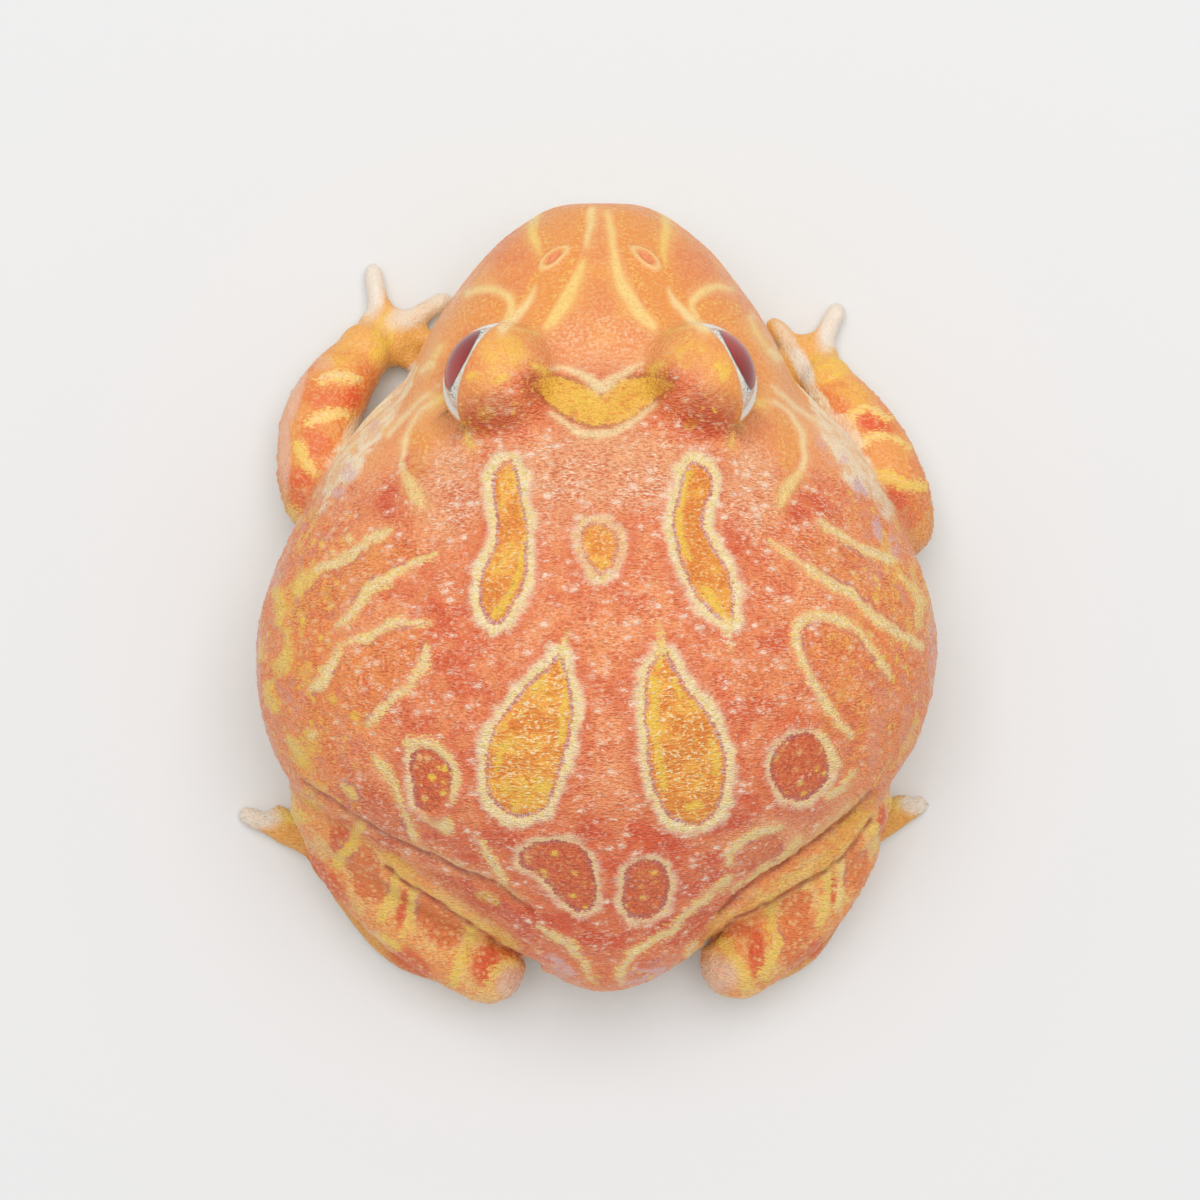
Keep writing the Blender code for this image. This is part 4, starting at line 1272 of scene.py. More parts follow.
    def build(self) -> bpy.types.Object:
        """Makes the skin with its relief and with the fields that its finish reads.

        Returns:
            The skin's object.
        """
        skin = self.even()
        surface = Surface(skin.data)
        limbs = {name: surface.kept(name) for name in self.regions}
        head = limbs["head"]
        normals = surface.normals()
        surface.points -= normals * self.settle * step(limbs["torso"] + head, 0.0, 1.0)[:, None]
        lids = [Lids(eye).shape(surface.points) for eye in EYES]
        slits = [Nostril(eye.side).shape(surface.points, normals) for eye in EYES]
        crease = self.mouth.shape(surface.points, surface.normals(), head)
        normals = surface.normals()
        places = self.pattern.view.places(surface.points)
        wobble = [noise(surface.points, 2.6, 21 + k) + 0.6 * noise(surface.points, 1.1, 23 + k) for k in (0, 1)]
        fields = self.pattern.measure(places + self.wobble * np.stack(wobble, axis=1)) | self.pattern.tints(places)
        fields["lid"] = np.minimum.reduce(lids)
        fields["nostril"] = np.minimum.reduce(slits)
        fields["mouth"] = crease
        fields["head"] = head
        fields["limb"] = 1 - limbs["torso"] - head
        fields["digit"] = limbs["hand"] + limbs["foot"]
        fields["hind"] = limbs["thigh"] + limbs["shank"] + 0.5 * limbs["foot"]
        fields["arm"] = limbs["upper_arm"] + limbs["forearm"]
        fields["under"] = self.heights(surface, normals, head) * (1 - fields["limb"])
        fields["under"] += step(normals[:, 2], 0.1, -0.5) * fields["limb"]
        fields["face"] = self.face(surface.points)
        reach = np.abs(surface.points[:, 0]) + 2.5 * noise(surface.points, 6.0, 41)
        fields["side"] = np.maximum(step(reach, 25.0, 37.0), step(surface.points[:, 2], 26.0, 16.0))
        fields["side"] *= (1 - fields["limb"]) * (1 - fields["face"])
        fields["lid_low"] = self.lower_lid(surface.points)
        # Depth of the creases, which the finish paints as shade.
        fields["hollow"] = self.hollow(surface, normals)
        fields["hollow"] *= step(fields["nostril"], 2.0, 3.5)
        calm = [step(fields["lid"], 1.6, 0.8), step(fields["nostril"], 3.4, 2.2), 0.6 * crease, 0.6 * fields["digit"]]
        fields["calm"] = np.clip(np.maximum.reduce(calm), 0, 1)
        for number, (name, size) in enumerate(self.clouds):
            fields[name] = clouds(surface.points, size, 50 + 10 * number)
        fields["wart"] = self.relief.shape(surface.points, normals, fields)
        self.confine(surface)
        surface.store()
        for name in self.regions:
            skin.data.attributes.remove(skin.data.attributes[name])
        for name, values in fields.items():
            surface.keep(name, values)
        skin.data.shade_smooth()
        return skin

    def face(self, points: np.ndarray) -> np.ndarray:
        """How far each point has the fine skin of the face, from 0 to 1."""
        back = np.interp(np.abs(points[:, 0]), (9.0, 21.0), (-28.5, -16.5)) + 2.0 * noise(points, 5.0, 42)
        return step(points[:, 1] - back, 3.0, -3.0)

    def lower_lid(self, points: np.ndarray) -> np.ndarray:
        """How far each point lies below the gap between the lids, from 0 to 1."""
        made = np.zeros(len(points))
        for eye in EYES:
            offset = points - eye.centre
            near = np.linalg.norm(offset, axis=1) < eye.radius + 3.0
            made = np.maximum(made, near * step(offset @ eye.axes()[1], 0.8, -1.2))
        return made

    def hollow(self, surface: Surface, normals: np.ndarray) -> np.ndarray:
        """How far each point lies in a crease, from 0 to 1."""
        mean = surface.spread(surface.points, 14)
        depth = np.einsum("ij,ij->i", mean - surface.points, normals)
        return step(surface.spread(depth[:, None], 2)[:, 0], 0.04, 0.4)

    def confine(self, surface: Surface) -> None:
        """Keeps every point of the skin inside the box of the solids it stands for."""
        boxes = [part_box(name) for name in self.flesh()]
        low = np.min([np.array(box[0]) for box in boxes], axis=0) / MM
        high = np.max([np.array(box[1]) for box in boxes], axis=0) / MM
        surface.points = np.clip(surface.points, low + 0.01, high - 0.01)


@dataclass(frozen=True)
class Grains:
    """Noises and spots, from 0 to 1, that the layers of the skin share."""

    hair: Socket
    grain: Socket
    beads: Socket
    stars: Socket


@dataclass(frozen=True)
class SkinFinish:
    """Finish of the skin: coral and orange grounds, haloed blotches, and a moist fibrous grain, with painted glints and
    shade on its relief.
    """

    coral: Colour = srgb(252, 160, 102)
    coral_deep: Colour = srgb(229, 96, 54)
    peach: Colour = srgb(248, 184, 132)
    # Deep red of the dark fibres, partly painted shade in the wrinkles; also darkens the grain on the hind legs.
    shade: Colour = srgb(208, 80, 46)
    flank: Colour = srgb(250, 142, 72)
    orange: Colour = srgb(244, 162, 84)
    orange_rosy: Colour = srgb(238, 148, 84)
    leg: Colour = srgb(254, 168, 94)
    leg_light: Colour = srgb(255, 204, 124)
    arm: Colour = srgb(236, 138, 70)
    arm_light: Colour = srgb(242, 162, 84)
    digit: Colour = srgb(244, 178, 88)
    tip: Colour = srgb(240, 228, 214)
    brick: Colour = srgb(228, 110, 62)
    brick_dark: Colour = srgb(182, 70, 52)
    zone: Colour = srgb(248, 148, 76)
    zone_golden: Colour = srgb(240, 156, 74)
    ochre: Colour = srgb(252, 168, 72)
    ochre_deep: Colour = srgb(236, 136, 54)
    gold: Colour = srgb(248, 204, 78)
    amber: Colour = srgb(252, 196, 84)
    cream: Colour = srgb(248, 222, 148)
    cream_light: Colour = srgb(254, 242, 208)
    cream_dull: Colour = srgb(246, 190, 126)
    band: Colour = srgb(252, 228, 172)
    mauve: Colour = srgb(198, 122, 114)
    mauve_light: Colour = srgb(230, 192, 188)
    umber: Colour = srgb(190, 92, 56)
    # Pale pink-white of the skin's flecks and the halo fringes, also used for painted glints.
    pale_fleck_and_glint: Colour = srgb(255, 224, 198)
    bead: Colour = srgb(250, 192, 128)
    granule: Colour = srgb(250, 196, 138)
    ember: Colour = srgb(232, 88, 48)
    pale: Colour = srgb(250, 234, 200)
    pale_rosy: Colour = srgb(246, 200, 150)
    rosy: Colour = srgb(242, 202, 180)
    lilac: Colour = srgb(226, 184, 184)
    smoke: Colour = srgb(216, 152, 134)
    # Painted shade: dark red laid in creases, along the folds, in the line of the mouth and under the lids.
    crease: Colour = srgb(172, 74, 52)
    slit: Colour = srgb(236, 152, 106)
    rim: Colour = srgb(250, 216, 148)
    rim_silver: Colour = srgb(234, 228, 220)
    halo_reach: float = 1.3

    def build(self) -> bpy.types.Material:
        """Makes the material.

        Returns:
            The skin's material.
        """
        material, tree, shader = new_material("frog_skin")
        place = tree.millimetres()
        grain = tree.noise(place, 0.42, detail=1.0, rough=0.6)
        fine = Grains(
            hair=tree.noise(tree.millimetres((2.2, 0.8, 2.2)), 0.27, detail=1.0, rough=0.6),
            grain=grain,
            beads=tree.spots(place, 0.95, 0.29, 0.14, grain, 0.5),
            stars=tree.spots(place, 1.85, 0.46, 0.24, grain, 1.4),
        )
        colour = self.ground(tree)
        colour = self.zones(tree, colour, fine)
        colour = self.flecks(tree, colour, fine)
        colour = self.flanks(tree, colour, fine)
        colour = self.blotches(tree, colour, fine)
        colour = self.lines(tree, colour, fine)
        colour = self.bands(tree, colour, fine)
        colour = self.underside(tree, colour, fine)
        colour = self.features(tree, colour, fine)
        tree.feed(shader.inputs["Base Color"], colour)
        self.surface(tree, shader, fine)
        return material

    def ground(self, tree: Tree) -> Socket:
        """Ground colour of back, flanks, face and legs, deeper beside the blotches."""
        cloud = tree.field("cloud")
        beside = tree.times(tree.step(tree.field("blotch"), 4.2, 1.4), 0.6)
        clouded = tree.math("MULTIPLY", tree.math("ADD", cloud, tree.field("glow")), 0.5)
        # Deeper red in clouds and deep patches, partly painted shade behind the lids and along the thigh folds.
        deep = tree.math("ADD", tree.step(clouded, 0.45, 0.6, 0.0, 0.52), tree.field("deep"), clamp=True)
        colour = tree.mix(tree.math("MAXIMUM", deep, beside), self.coral, self.coral_deep)
        colour = tree.mix(tree.times(tree.field("side"), 0.85), colour, self.flank)
        colour = tree.mix(tree.times(tree.field("blush"), 0.65), colour, self.peach)
        face = tree.mix(tree.step(cloud, 0.4, 0.62), self.orange, self.orange_rosy)
        face = tree.mix(tree.times(tree.field("blush"), 0.55), face, self.peach)
        face = tree.mix(tree.times(tree.field("deep"), 0.8), face, self.coral_deep)
        colour = tree.mix(tree.field("face"), colour, face)
        glow = tree.step(tree.field("glow"), 0.42, 0.6)
        leg = tree.mix(glow, self.leg, self.leg_light)
        leg = tree.mix(tree.field("arm"), leg, tree.mix(glow, self.arm, self.arm_light))
        colour = tree.mix(tree.field("limb"), colour, leg)
        colour = tree.mix(tree.field("digit"), colour, self.digit)
        colour = tree.mix(tree.times(tree.field("ember"), 0.85), colour, self.ember)
        gilt = tree.times(tree.field("gilt"), tree.step(tree.field("speck"), 0.34, 0.56, 0.3, 0.9))
        return tree.mix(tree.times(gilt, tree.step(tree.field("hind"), 0.0, 1.0, 1.0, 0.55)), colour, self.gold)

    def zones(self, tree: Tree, colour: Socket, fine: Grains) -> Socket:
        """Golden, orange and brick zones, between the lines of flanks, face and legs."""
        face = tree.field("face")
        tone = tree.field("zone_tone")
        away = tree.shaken(tree.field("zone"), tree.field("speck"), 1.1)
        away = tree.shaken(away, fine.hair, 0.7)
        inner = tree.mix(tree.step(tone, 0.0, 0.3), self.zone_golden, self.zone)
        inner = tree.mix(tree.step(tone, 0.35, 1.0), inner, self.brick)
        mottle = tree.times(tree.step(tree.field("glow"), 0.5, 0.66), tree.less(face), 0.45)
        inner = tree.mix(mottle, inner, self.coral_deep)
        rim = tree.times(tree.band(tree.field("zone"), -1.0, 0.1, 0.5), face, tree.step(fine.grain, 0.5, 0.6), 0.6)
        inner = tree.mix(rim, inner, self.gold)
        strength = tree.step(tree.math("MAXIMUM", face, tree.field("limb")), 0.0, 1.0, 0.75, 0.85)
        return tree.mix(tree.times(tree.step(away, 0.5, -0.5), strength), colour, inner)

    def flecks(self, tree: Tree, colour: Socket, fine: Grains) -> Socket:
        """Dark fibres, partly painted shade; pale fibres of painted glint and frayed pale flakes over the body; beads
        on the hind legs; and a grain on the face with painted glints.
        """
        face = tree.field("face")
        speck = tree.field("speck")
        body = tree.less(tree.math("MAXIMUM", face, tree.field("limb")))
        patchy = tree.step(tree.field("glow"), 0.36, 0.6, 0.5, 1.0)
        # Dark fibres where the noise that also raises the bump is low. They are partly the skin's deeper red fibres and
        # partly painted shade in the valleys of its wrinkles.
        dark = tree.times(tree.step(fine.hair, 0.49, 0.37), tree.step(body, 0.0, 1.0, 0.15, 0.62), patchy)
        colour = tree.mix(dark, colour, self.shade)
        warm = tree.math("MAXIMUM", tree.field("side"), face)
        pale_fleck_and_glint = tree.mix(tree.times(warm, tree.less(tree.field("blush"))), self.pale_fleck_and_glint, self.granule)
        open_ground = tree.step(tree.field("blotch"), 1.4, 4.5, 0.4, 1.0)
        # Painted glints of the wet skin, on the crests of the fibres that also raise the bump. They are stronger where
        # the skin is blushed and away from the blotches.
        painted_glint_reach = tree.times(tree.step(tree.field("blush"), 0.0, 1.0, 0.5, 1.0), open_ground)
        light = tree.times(tree.step(fine.hair, 0.54, 0.62), tree.step(speck, 0.4, 0.58, 0.2, 0.9), painted_glint_reach, body)
        colour = tree.mix(light, colour, pale_fleck_and_glint)
        long_way = tree.millimetres((1.5, 0.85, 1.5))
        flakes = tree.times(tree.spots(long_way, 1.45, 0.29, 0.17, fine.hair, 2.8), body, tree.step(speck, 0.4, 0.53))
        colour = tree.mix(tree.times(flakes, 0.9), colour, pale_fleck_and_glint)
        gaps = tree.times(tree.step(fine.grain, 0.52, 0.4), tree.field("hind"), 0.28)
        colour = tree.mix(gaps, colour, self.shade)
        studded = tree.times(fine.beads, tree.field("hind"), 0.75)
        colour = tree.mix(studded, colour, tree.mix(tree.field("gilt"), self.bead, self.gold))
        # On the crown and arms the grain that also raises the bump is pale where high, partly painted glints, and
        # deeper red where low.
        crown = tree.times(face, tree.step(tree.field("blush"), 0.0, 0.3, 0.28, 0.5))
        coarse = tree.math("MAXIMUM", crown, tree.times(tree.field("arm"), 0.2))
        colour = tree.mix(tree.times(tree.step(fine.grain, 0.5, 0.62), coarse), colour, pale_fleck_and_glint)
        return tree.mix(tree.times(tree.step(fine.grain, 0.45, 0.34), coarse, 0.45), colour, self.coral_deep)

    def flanks(self, tree: Tree, colour: Socket, fine: Grains) -> Socket:
        """Loose yellow, smoky and lilac mottling low on the sides."""
        side = tree.field("side")
        tall = tree.field("tall")
        patches = tree.times(tree.step(tree.shaken(tall, fine.hair, 0.2), 0.57, 0.7), side, 0.6)
        colour = tree.mix(patches, colour, self.amber)
        studs = tree.times(fine.stars, side, tree.step(tree.field("glow"), 0.4, 0.52))
        colour = tree.mix(tree.times(studs, 0.85), colour, self.gold)
        smoke = tree.times(side, tree.step(tree.shaken(tree.field("speck"), fine.hair, 0.2), 0.38, 0.3))
        colour = tree.mix(tree.times(smoke, 0.4), colour, self.smoke)
        low = tree.times(side, tree.step(tree.field("under"), 0.0, 0.3, 0.3, 1.0))
        mist = tree.times(low, tree.step(tree.shaken(tall, fine.hair, 0.1), 0.42, 0.32), 0.55)
        return tree.mix(mist, colour, self.lilac)

    def blotches(self, tree: Tree, colour: Socket, fine: Grains) -> Socket:
        """Filled blotches with their mauve edge and their halo of pale hairs."""
        away = tree.field("blotch")
        tone = tree.field("blotch_tone")
        speck = tree.field("speck")
        body = tree.step(tone, 0.01, 0.04)
        open_sides = tree.less(tree.field("bare"))
        golden = tree.step(tone, 0.75, 0.45)
        foot = {0: tree.field("edge_x"), 1: tree.field("edge_y"), 2: tree.math("MULTIPLY", away, 0.12)}
        ray = tree.node("ShaderNodeCombineXYZ", foot).outputs[0]
        fibre = tree.noise(ray, 0.19, detail=1.0, rough=0.6)
        fill = self.filling(tree, tone, golden, fine)
        ragged = tree.shaken(away, fine.grain, 0.5)
        colour = tree.mix(tree.step(ragged, 0.1, -0.1), colour, fill)
        edge = tree.mix(tree.step(fibre, 0.47, 0.57), self.mauve, self.mauve_light)
        edge = tree.mix(tree.times(tree.less(golden), 0.6), edge, self.brick_dark)
        edge = tree.mix(body, self.umber, edge)
        broken = tree.step(speck, 0.34, 0.52, 0.4, 0.85)
        colour = tree.mix(tree.times(tree.band(ragged, -0.3, 0.12, 0.12), broken, open_sides), colour, edge)
        width = tree.step(golden, 0.0, 1.0, self.halo_reach - 0.5, self.halo_reach)
        width = tree.shaken(width, speck, 0.8)
        rough = tree.math("SUBTRACT", tree.shaken(away, fibre, 0.8), width)
        fringe = tree.times(tree.step(rough, 1.3, 0.1), tree.step(fibre, 0.5, 0.62), tree.step(away, 0.2, 0.6), 0.6)
        colour = tree.mix(tree.times(fringe, open_sides, body), colour, self.pale_fleck_and_glint)
        halo = tree.times(tree.step(ragged, 0.0, 0.3), tree.step(rough, 0.5, -0.6), open_sides, body)
        cream = tree.mix(tree.times(tree.step(fibre, 0.46, 0.6), 0.7), self.cream, self.cream_light)
        cream = tree.mix(tree.times(tree.less(golden), 0.35), cream, self.cream_dull)
        outer = tree.step(tree.math("SUBTRACT", away, width), -0.9, 0.2)
        cream = tree.mix(tree.times(outer, 0.5), cream, self.pale_fleck_and_glint)
        return tree.mix(tree.times(halo, 0.93), colour, cream)

    def filling(self, tree: Tree, tone: Socket, golden: Socket, fine: Grains) -> Socket:
        """Inside of the blotches, with its pale squiggles, partly painted highlight and shade of wrinkles, golden glow,
        stars and streaks.
        """
        curl = tree.noise(tree.millimetres((1.9, 0.9, 1.9)), 0.62, detail=1.0)
        ridge = tree.step(tree.math("ABSOLUTE", tree.math("SUBTRACT", curl, 0.5)), 0.1, 0.03)
        glow = tree.field("glow")
        fill = tree.mix(tree.step(glow, 0.4, 0.62), self.ochre, self.ochre_deep)
        fill = tree.mix(tree.times(tree.step(glow, 0.46, 0.32), 0.5), fill, self.gold)
        brow = tree.step(tone, 0.03, 0.01)
        fill = tree.mix(tree.times(brow, 0.65), fill, self.gold)
        # The squiggles stand for wrinkles: deeper in their valleys and amber to cream on their ridges, partly the
        # fill's own colour and partly painted shade and highlight.
        valley = tree.times(tree.step(curl, 0.43, 0.33), 0.6)
        fill = tree.mix(valley, fill, self.ochre_deep)
        pale = tree.step(tone, 0.04, 0.2, 0.35, 0.6)
        fill = tree.mix(tree.times(ridge, pale, tree.step(fine.grain, 0.36, 0.52, 0.3, 1.0)), fill, self.amber)
        crest = tree.times(ridge, tree.step(fine.grain, 0.53, 0.6), pale, tree.less(brow))
        fill = tree.mix(crest, fill, self.cream_light)
        brick = tree.mix(tree.times(tree.step(fine.grain, 0.5, 0.38), 0.5), self.brick, self.brick_dark)
        brick = tree.mix(tree.times(tree.step(fine.grain, 0.56, 0.66), 0.3), brick, self.cream_dull)
        fill = tree.mix(tree.less(golden), fill, brick)
        starry = tree.times(fine.stars, tree.less(golden), 0.9)
        fill = tree.mix(starry, fill, tree.mix(tree.step(glow, 0.45, 0.55), self.gold, self.cream_dull))
        streak = tree.step(tree.shaken(tree.field("streak"), fine.grain, 0.8), 0.3, -0.25)
        return tree.mix(tree.times(streak, 0.85), fill, self.gold)

    def lines(self, tree: Tree, colour: Socket, fine: Grains) -> Socket:
        """Cream and yellow lines, crisp and mauve-edged on the side of a zone, and beaded on legs."""
        speck = tree.field("speck")
        tone = tree.field("line_tone")
        studded = tree.times(fine.beads, tree.field("limb"))
        away = tree.math("MULTIPLY_ADD", studded, -0.3, tree.shaken(tree.field("line"), speck, 0.6))
        outer = tree.step(tree.field("zone"), -0.2, 0.6)
        swing = tree.math("MULTIPLY", tree.math("SUBTRACT", fine.hair, 0.5), tree.step(outer, 0.0, 1.0, 0.9, 2.6))
        rough = tree.math("ADD", away, swing)
        fuzz = tree.times(tree.step(rough, 0.3, -0.25), tree.less(tree.field("bare")))
        broken = tree.step(speck, 0.38, 0.58, 0.15, 0.75)
        rim = tree.times(tree.band(rough, 0.05, 0.45, 0.2), tree.less(outer), broken)
        colour = tree.mix(rim, colour, self.mauve)
        shade = tree.mix(tone, self.cream, self.gold)
        shade = tree.mix(tree.times(tree.step(fine.grain, 0.5, 0.38), 0.4), shade, self.cream_dull)
        pale = tree.times(tree.step(fine.hair, 0.48, 0.6), tree.step(tone, 0.8, 0.3, 0.2, 0.8))
        shade = tree.mix(pale, shade, self.cream_light)
        return tree.mix(tree.times(fuzz, tree.step(speck, 0.26, 0.4, 0.75, 0.92)), colour, shade)

    def bands(self, tree: Tree, colour: Socket, fine: Grains) -> Socket:
        """Soft pale lines of the face, which fade away from the zones beside them."""
        away = tree.shaken(tree.field("band"), fine.grain, 0.5)
        tone = tree.mix(tree.field("band_tone"), self.band, self.gold)
        outside = tree.step(tree.field("zone"), -0.1, 0.4)
        soft = tree.step(tree.field("band_tone"), 0.08, 0.3, 0.55, 1.0)
        glow = tree.times(tree.step(away, 1.5, 0.0), outside, tree.step(fine.grain, 0.38, 0.6, 0.2, 0.5), soft)
        colour = tree.mix(glow, colour, tree.mix(0.4, tone, self.orange))
        core = tree.times(tree.step(away, 0.4, -0.4), tree.step(fine.grain, 0.36, 0.54, 0.6, 0.92))
        return tree.mix(core, colour, tone)

    def underside(self, tree: Tree, colour: Socket, fine: Grains) -> Socket:
        """Pale belly and throat, rosy in places, and the pale and lilac patches of the flanks."""
        cloud = tree.shaken(tree.field("glow"), fine.grain, 0.25)
        rosy = tree.mix(tree.step(cloud, 0.42, 0.72), self.pale, self.pale_rosy)
        rosy = tree.mix(tree.times(tree.step(cloud, 0.44, 0.3), tree.less(tree.field("limb")), 0.35), rosy, self.gold)
        pale = tree.times(tree.field("pale"), tree.step(tree.field("glow"), 0.32, 0.55, 0.4, 1.0), 1.2)
        pale = tree.shaken(pale, fine.grain, 0.35)
        pale = tree.times(tree.step(pale, 0.1, 0.85), 0.92)
        colour = tree.mix(tree.math("MAXIMUM", tree.field("under"), pale), colour, rosy)
        ends = tree.times(tree.field("digit"), tree.field("pale"), 0.9)
        colour = tree.mix(ends, colour, self.tip)
        colour = tree.mix(tree.times(tree.field("rosy"), 0.7), colour, self.rosy)
        lilac = tree.times(tree.field("lilac"), tree.step(tree.shaken(tree.field("speck"), fine.grain, 0.3), 0.34, 0.6))
        return tree.mix(tree.times(lilac, 0.85), colour, self.lilac)

    def features(self, tree: Tree, colour: Socket, fine: Grains) -> Socket:
        """Warts, nostrils, rims of the lids, and painted shade in creases, along the folds, in the line of the mouth
        and under the lids.
        """
        golden = tree.math("MAXIMUM", tree.field("limb"), tree.math("MAXIMUM", tree.field("side"), tree.field("face")))
        tip = tree.mix(golden, self.pale_fleck_and_glint, self.granule)
        wart = tree.times(tree.step(tree.field("wart"), 0.3, 0.9), tree.step(fine.hair, 0.4, 0.58, 0.35, 1.0), 0.5)
        colour = tree.mix(wart, colour, tip)
        grain_step = tree.step(fine.grain, 0.36, 0.5, 0.95, 0.6)
        colour = tree.mix(tree.times(tree.field("umber"), grain_step), colour, self.umber)
        frayed = tree.step(fine.hair, 0.42, 0.56, 0.1, 0.8)
        sprinkle = tree.times(fine.beads, tree.step(tree.field("umber"), 0.04, 0.3), frayed)
        speck = tree.step(tree.field("speck"), 0.42, 0.58)
        colour = tree.mix(sprinkle, colour, tree.mix(speck, self.gold, self.granule))
        slit = tree.field("nostril")
        colour = tree.mix(tree.times(tree.band(slit, 1.55, 2.2, 0.5), 0.8), colour, self.rim)
        colour = tree.mix(tree.times(tree.step(slit, 1.4, 0.8), 0.9), colour, self.slit)
        # Painted shade: the skin is darker where it lies deep in a crease, less so on the face.
        hollow = tree.times(tree.field("hollow"), tree.step(tree.field("face"), 0.0, 1.0, 0.5, 0.3))
        colour = tree.mix(hollow, colour, self.crease)
        # Painted shade along the carved folds, away from the pale underside.
        fold = tree.times(tree.step(tree.field("fold"), 0.45, 0.05), tree.less(tree.field("under")))
        fold = tree.times(fold, tree.step(tree.field("speck"), 0.3, 0.6, 0.35, 0.85))
        colour = tree.mix(fold, colour, self.crease)
        # Painted shade in the sunken line of the mouth.
        colour = tree.mix(tree.times(tree.step(tree.field("mouth"), 0.35, 0.95), 0.7), colour, self.crease)
        rim = tree.mix(tree.field("lid_low"), self.rim, self.rim_silver)
        colour = tree.mix(tree.step(tree.field("lid"), 0.62, 0.32), colour, rim)
        shadow = tree.times(tree.step(tree.field("lid"), -0.05, -0.5), 0.9)
        return tree.mix(shadow, colour, self.crease)

    def surface(self, tree: Tree, shader: bpy.types.Node, fine: Grains) -> None:
        """Moist gloss and the finest grain of the skin."""
        fibres = tree.times(fine.hair, tree.less(tree.field("face")))
        height = tree.math("MULTIPLY_ADD", fine.grain, 0.9, tree.math("MULTIPLY", fibres, 1.6))
        bump = tree.node("ShaderNodeBump", {"Strength": 0.9, "Distance": 0.24 * MM, "Height": height})
        tree.feed(shader.inputs["Normal"], bump.outputs["Normal"])
        tree.feed(shader.inputs["Roughness"], tree.step(tree.field("speck"), 0.3, 0.7, 0.26, 0.42))
        shader.inputs["Specular IOR Level"].default_value = 0.45


@dataclass(frozen=True)
class EyeFinish:
    """Finish of the eye: silvery iris, a large level pupil with a dark netted rim and a painted reflection that
    lightens its red to one end, and a wet gloss.
    """

    pupil: Colour = srgb(138, 44, 44)
    pupil_painted_reflection: Colour = srgb(172, 68, 62)
    iris: Colour = srgb(232, 232, 224)
    iris_warm: Colour = srgb(222, 206, 186)
    net: Colour = srgb(84, 74, 72)
    half_long: float = 4.15
    half_high: float = 2.9

    def build(self) -> bpy.types.Material:
        """Makes the material, which reads the ball's own axes.

        Returns:
            The eye's material.
        """
        material, tree, shader = new_material("frog_eye")
        place = tree.millimetres()
        along, across, _ = tree.node("ShaderNodeSeparateXYZ", {0: place}).outputs
        long_share = tree.math("ABSOLUTE", tree.math("DIVIDE", along, self.half_long))
        high_share = tree.math("ABSOLUTE", tree.math("DIVIDE", across, self.half_high))
        rounded = tree.math("ADD", tree.math("POWER", long_share, 1.8), tree.math("POWER", high_share, 1.8))
        shake = tree.math("MULTIPLY", tree.noise(place, 0.45, detail=2.0), 0.06)
        far = tree.math("ADD", rounded, shake)
        mottle = tree.noise(place, 0.8, detail=3.0, rough=0.6)
        iris = tree.mix(tree.step(mottle, 0.4, 0.65), self.iris, self.iris_warm)
        veins = tree.step(tree.noise(place, 0.35, detail=3.0, rough=0.7), 0.5, 0.6)
        ends = tree.step(long_share, 0.55, 1.0)
        net = tree.times(tree.step(far, 1.9, 1.05), veins, ends)
        iris = tree.mix(net, iris, self.net)
        # Painted reflection: the pupil's red lightens towards one end.
        red = tree.mix(tree.step(along, -3.0, 3.0), self.pupil, self.pupil_painted_reflection)
        colour = tree.mix(tree.step(far, 1.06, 0.98), iris, red)
        rim = tree.times(tree.band(far, 0.97, 1.07, 0.04), 0.75)
        colour = tree.mix(rim, colour, self.net)
        tree.feed(shader.inputs["Base Color"], colour)
        shader.inputs["Roughness"].default_value = 0.22
        shader.inputs["Specular IOR Level"].default_value = 0.3
        shader.inputs["Coat Weight"].default_value = 0.35
        shader.inputs["Coat IOR"].default_value = 1.34
        shader.inputs["Coat Roughness"].default_value = 0.03
        return material


@dataclass(frozen=True)
class Eye:
    """One eyeball, a sphere as wide as the solid it stands for."""

    place: EyePlace
    material: bpy.types.Material
    forward: float = math.radians(27.5)
    upward: float = math.radians(26.0)
    segments: int = 96
    rings: int = 64

    def build(self) -> bpy.types.Object:
        """Makes the eyeball with its own axes: along the pupil, across it, and out.

        Returns:
            The eyeball's object.
        """
        bm = bmesh.new()
        radius = self.place.radius * MM
        bmesh.ops.create_uvsphere(bm, u_segments=self.segments, v_segments=self.rings, radius=radius)
        mesh = bpy.data.meshes.new("eyeball")
        bm.to_mesh(mesh)
        bm.free()
        mesh.shade_smooth()
        mesh.materials.append(self.material)
        side = "left" if self.place.side > 0 else "right"
        ball = bpy.data.objects.new("eyeball_" + side, mesh)
        along, across, axis = (Vector(v) for v in self.place.axes(self.forward, self.upward))
        turn = Matrix((along, across, axis)).transposed().to_4x4()
        ball.matrix_world = Matrix.Translation(Vector(self.place.centre) * MM) @ turn
        bpy.context.scene.collection.objects.link(ball)
        return ball


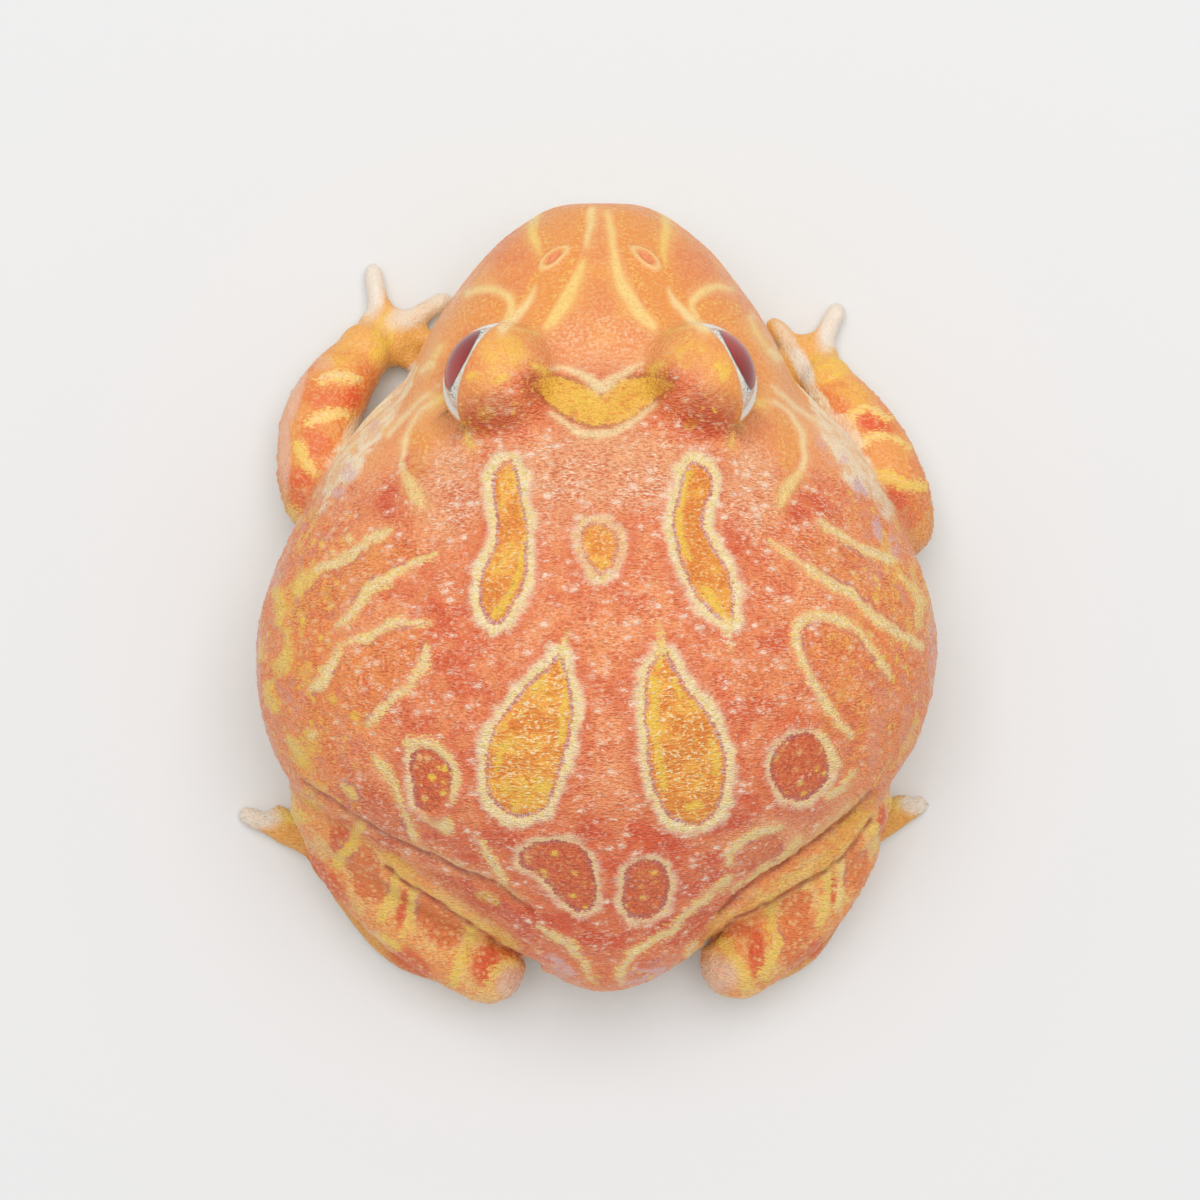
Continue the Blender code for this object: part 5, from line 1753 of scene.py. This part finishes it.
@dataclass(frozen=True)
class Studio:
    """Plain pale floor, and soft light from all round with a large lamp above. In metres."""

    floor_side: float = 4.0
    floor_colour: Colour = srgb(236, 236, 236)
    lamp_place: tuple[float, float, float] = (-0.02, -0.26, 1.05)
    lamp_side: float = 1.0
    lamp_watts: float = 7.1
    sky: float = 0.56

    def build(self) -> bpy.types.Object:
        """Makes floor, lamp and sky.

        Returns:
            The floor.
        """
        half = self.floor_side / 2
        mesh = bpy.data.meshes.new("studio_floor")
        mesh.from_pydata([(-half, -half, 0), (half, -half, 0), (half, half, 0), (-half, half, 0)], [], [(0, 1, 2, 3)])
        material, _, shader = new_material("studio_floor")
        shader.inputs["Base Color"].default_value = self.floor_colour
        shader.inputs["Roughness"].default_value = 0.9
        shader.inputs["Specular IOR Level"].default_value = 0.1
        mesh.materials.append(material)
        floor = bpy.data.objects.new("studio_floor", mesh)
        lamp = bpy.data.lights.new("soft_box", "AREA")
        lamp.shape = "SQUARE"
        lamp.size = self.lamp_side
        lamp.energy = self.lamp_watts
        box = bpy.data.objects.new("soft_box", lamp)
        place = Vector(self.lamp_place)
        box.location = place
        box.rotation_euler = (-place).to_track_quat("-Z", "Y").to_euler()
        for made in (floor, box):
            bpy.context.scene.collection.objects.link(made)
        world = bpy.data.worlds.new("studio_sky")
        world.use_nodes = True
        background = world.node_tree.nodes["Background"]
        background.inputs["Color"].default_value = (1.0, 1.0, 1.0, 1.0)
        background.inputs["Strength"].default_value = self.sky
        bpy.context.scene.world = world
        bpy.context.scene.view_settings.view_transform = "Standard"
        return floor


def report(obj: bpy.types.Object) -> None:
    """Logs the name and the size of a finished piece."""
    log.info("%s: %d points, %d faces", obj.name, len(obj.data.vertices), len(obj.data.polygons))


def main() -> None:
    """Builds the camera, the studio and the animal in order."""
    logging.basicConfig(level=logging.INFO, format="%(message)s")
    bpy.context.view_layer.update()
    view = PhotoView()
    view.build()
    Studio().build()
    body = Skin(Pattern(view))
    skin = body.build()
    skin.data.materials.clear()
    skin.data.materials.append(SkinFinish().build())
    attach(skin, "root")
    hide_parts(*body.flesh())
    report(skin)
    wet = EyeFinish().build()
    for place in EYES:
        ball = Eye(place, wet).build()
        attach(ball, "root")
        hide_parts(place.name)
        report(ball)


if __name__ == "__main__":
    main()
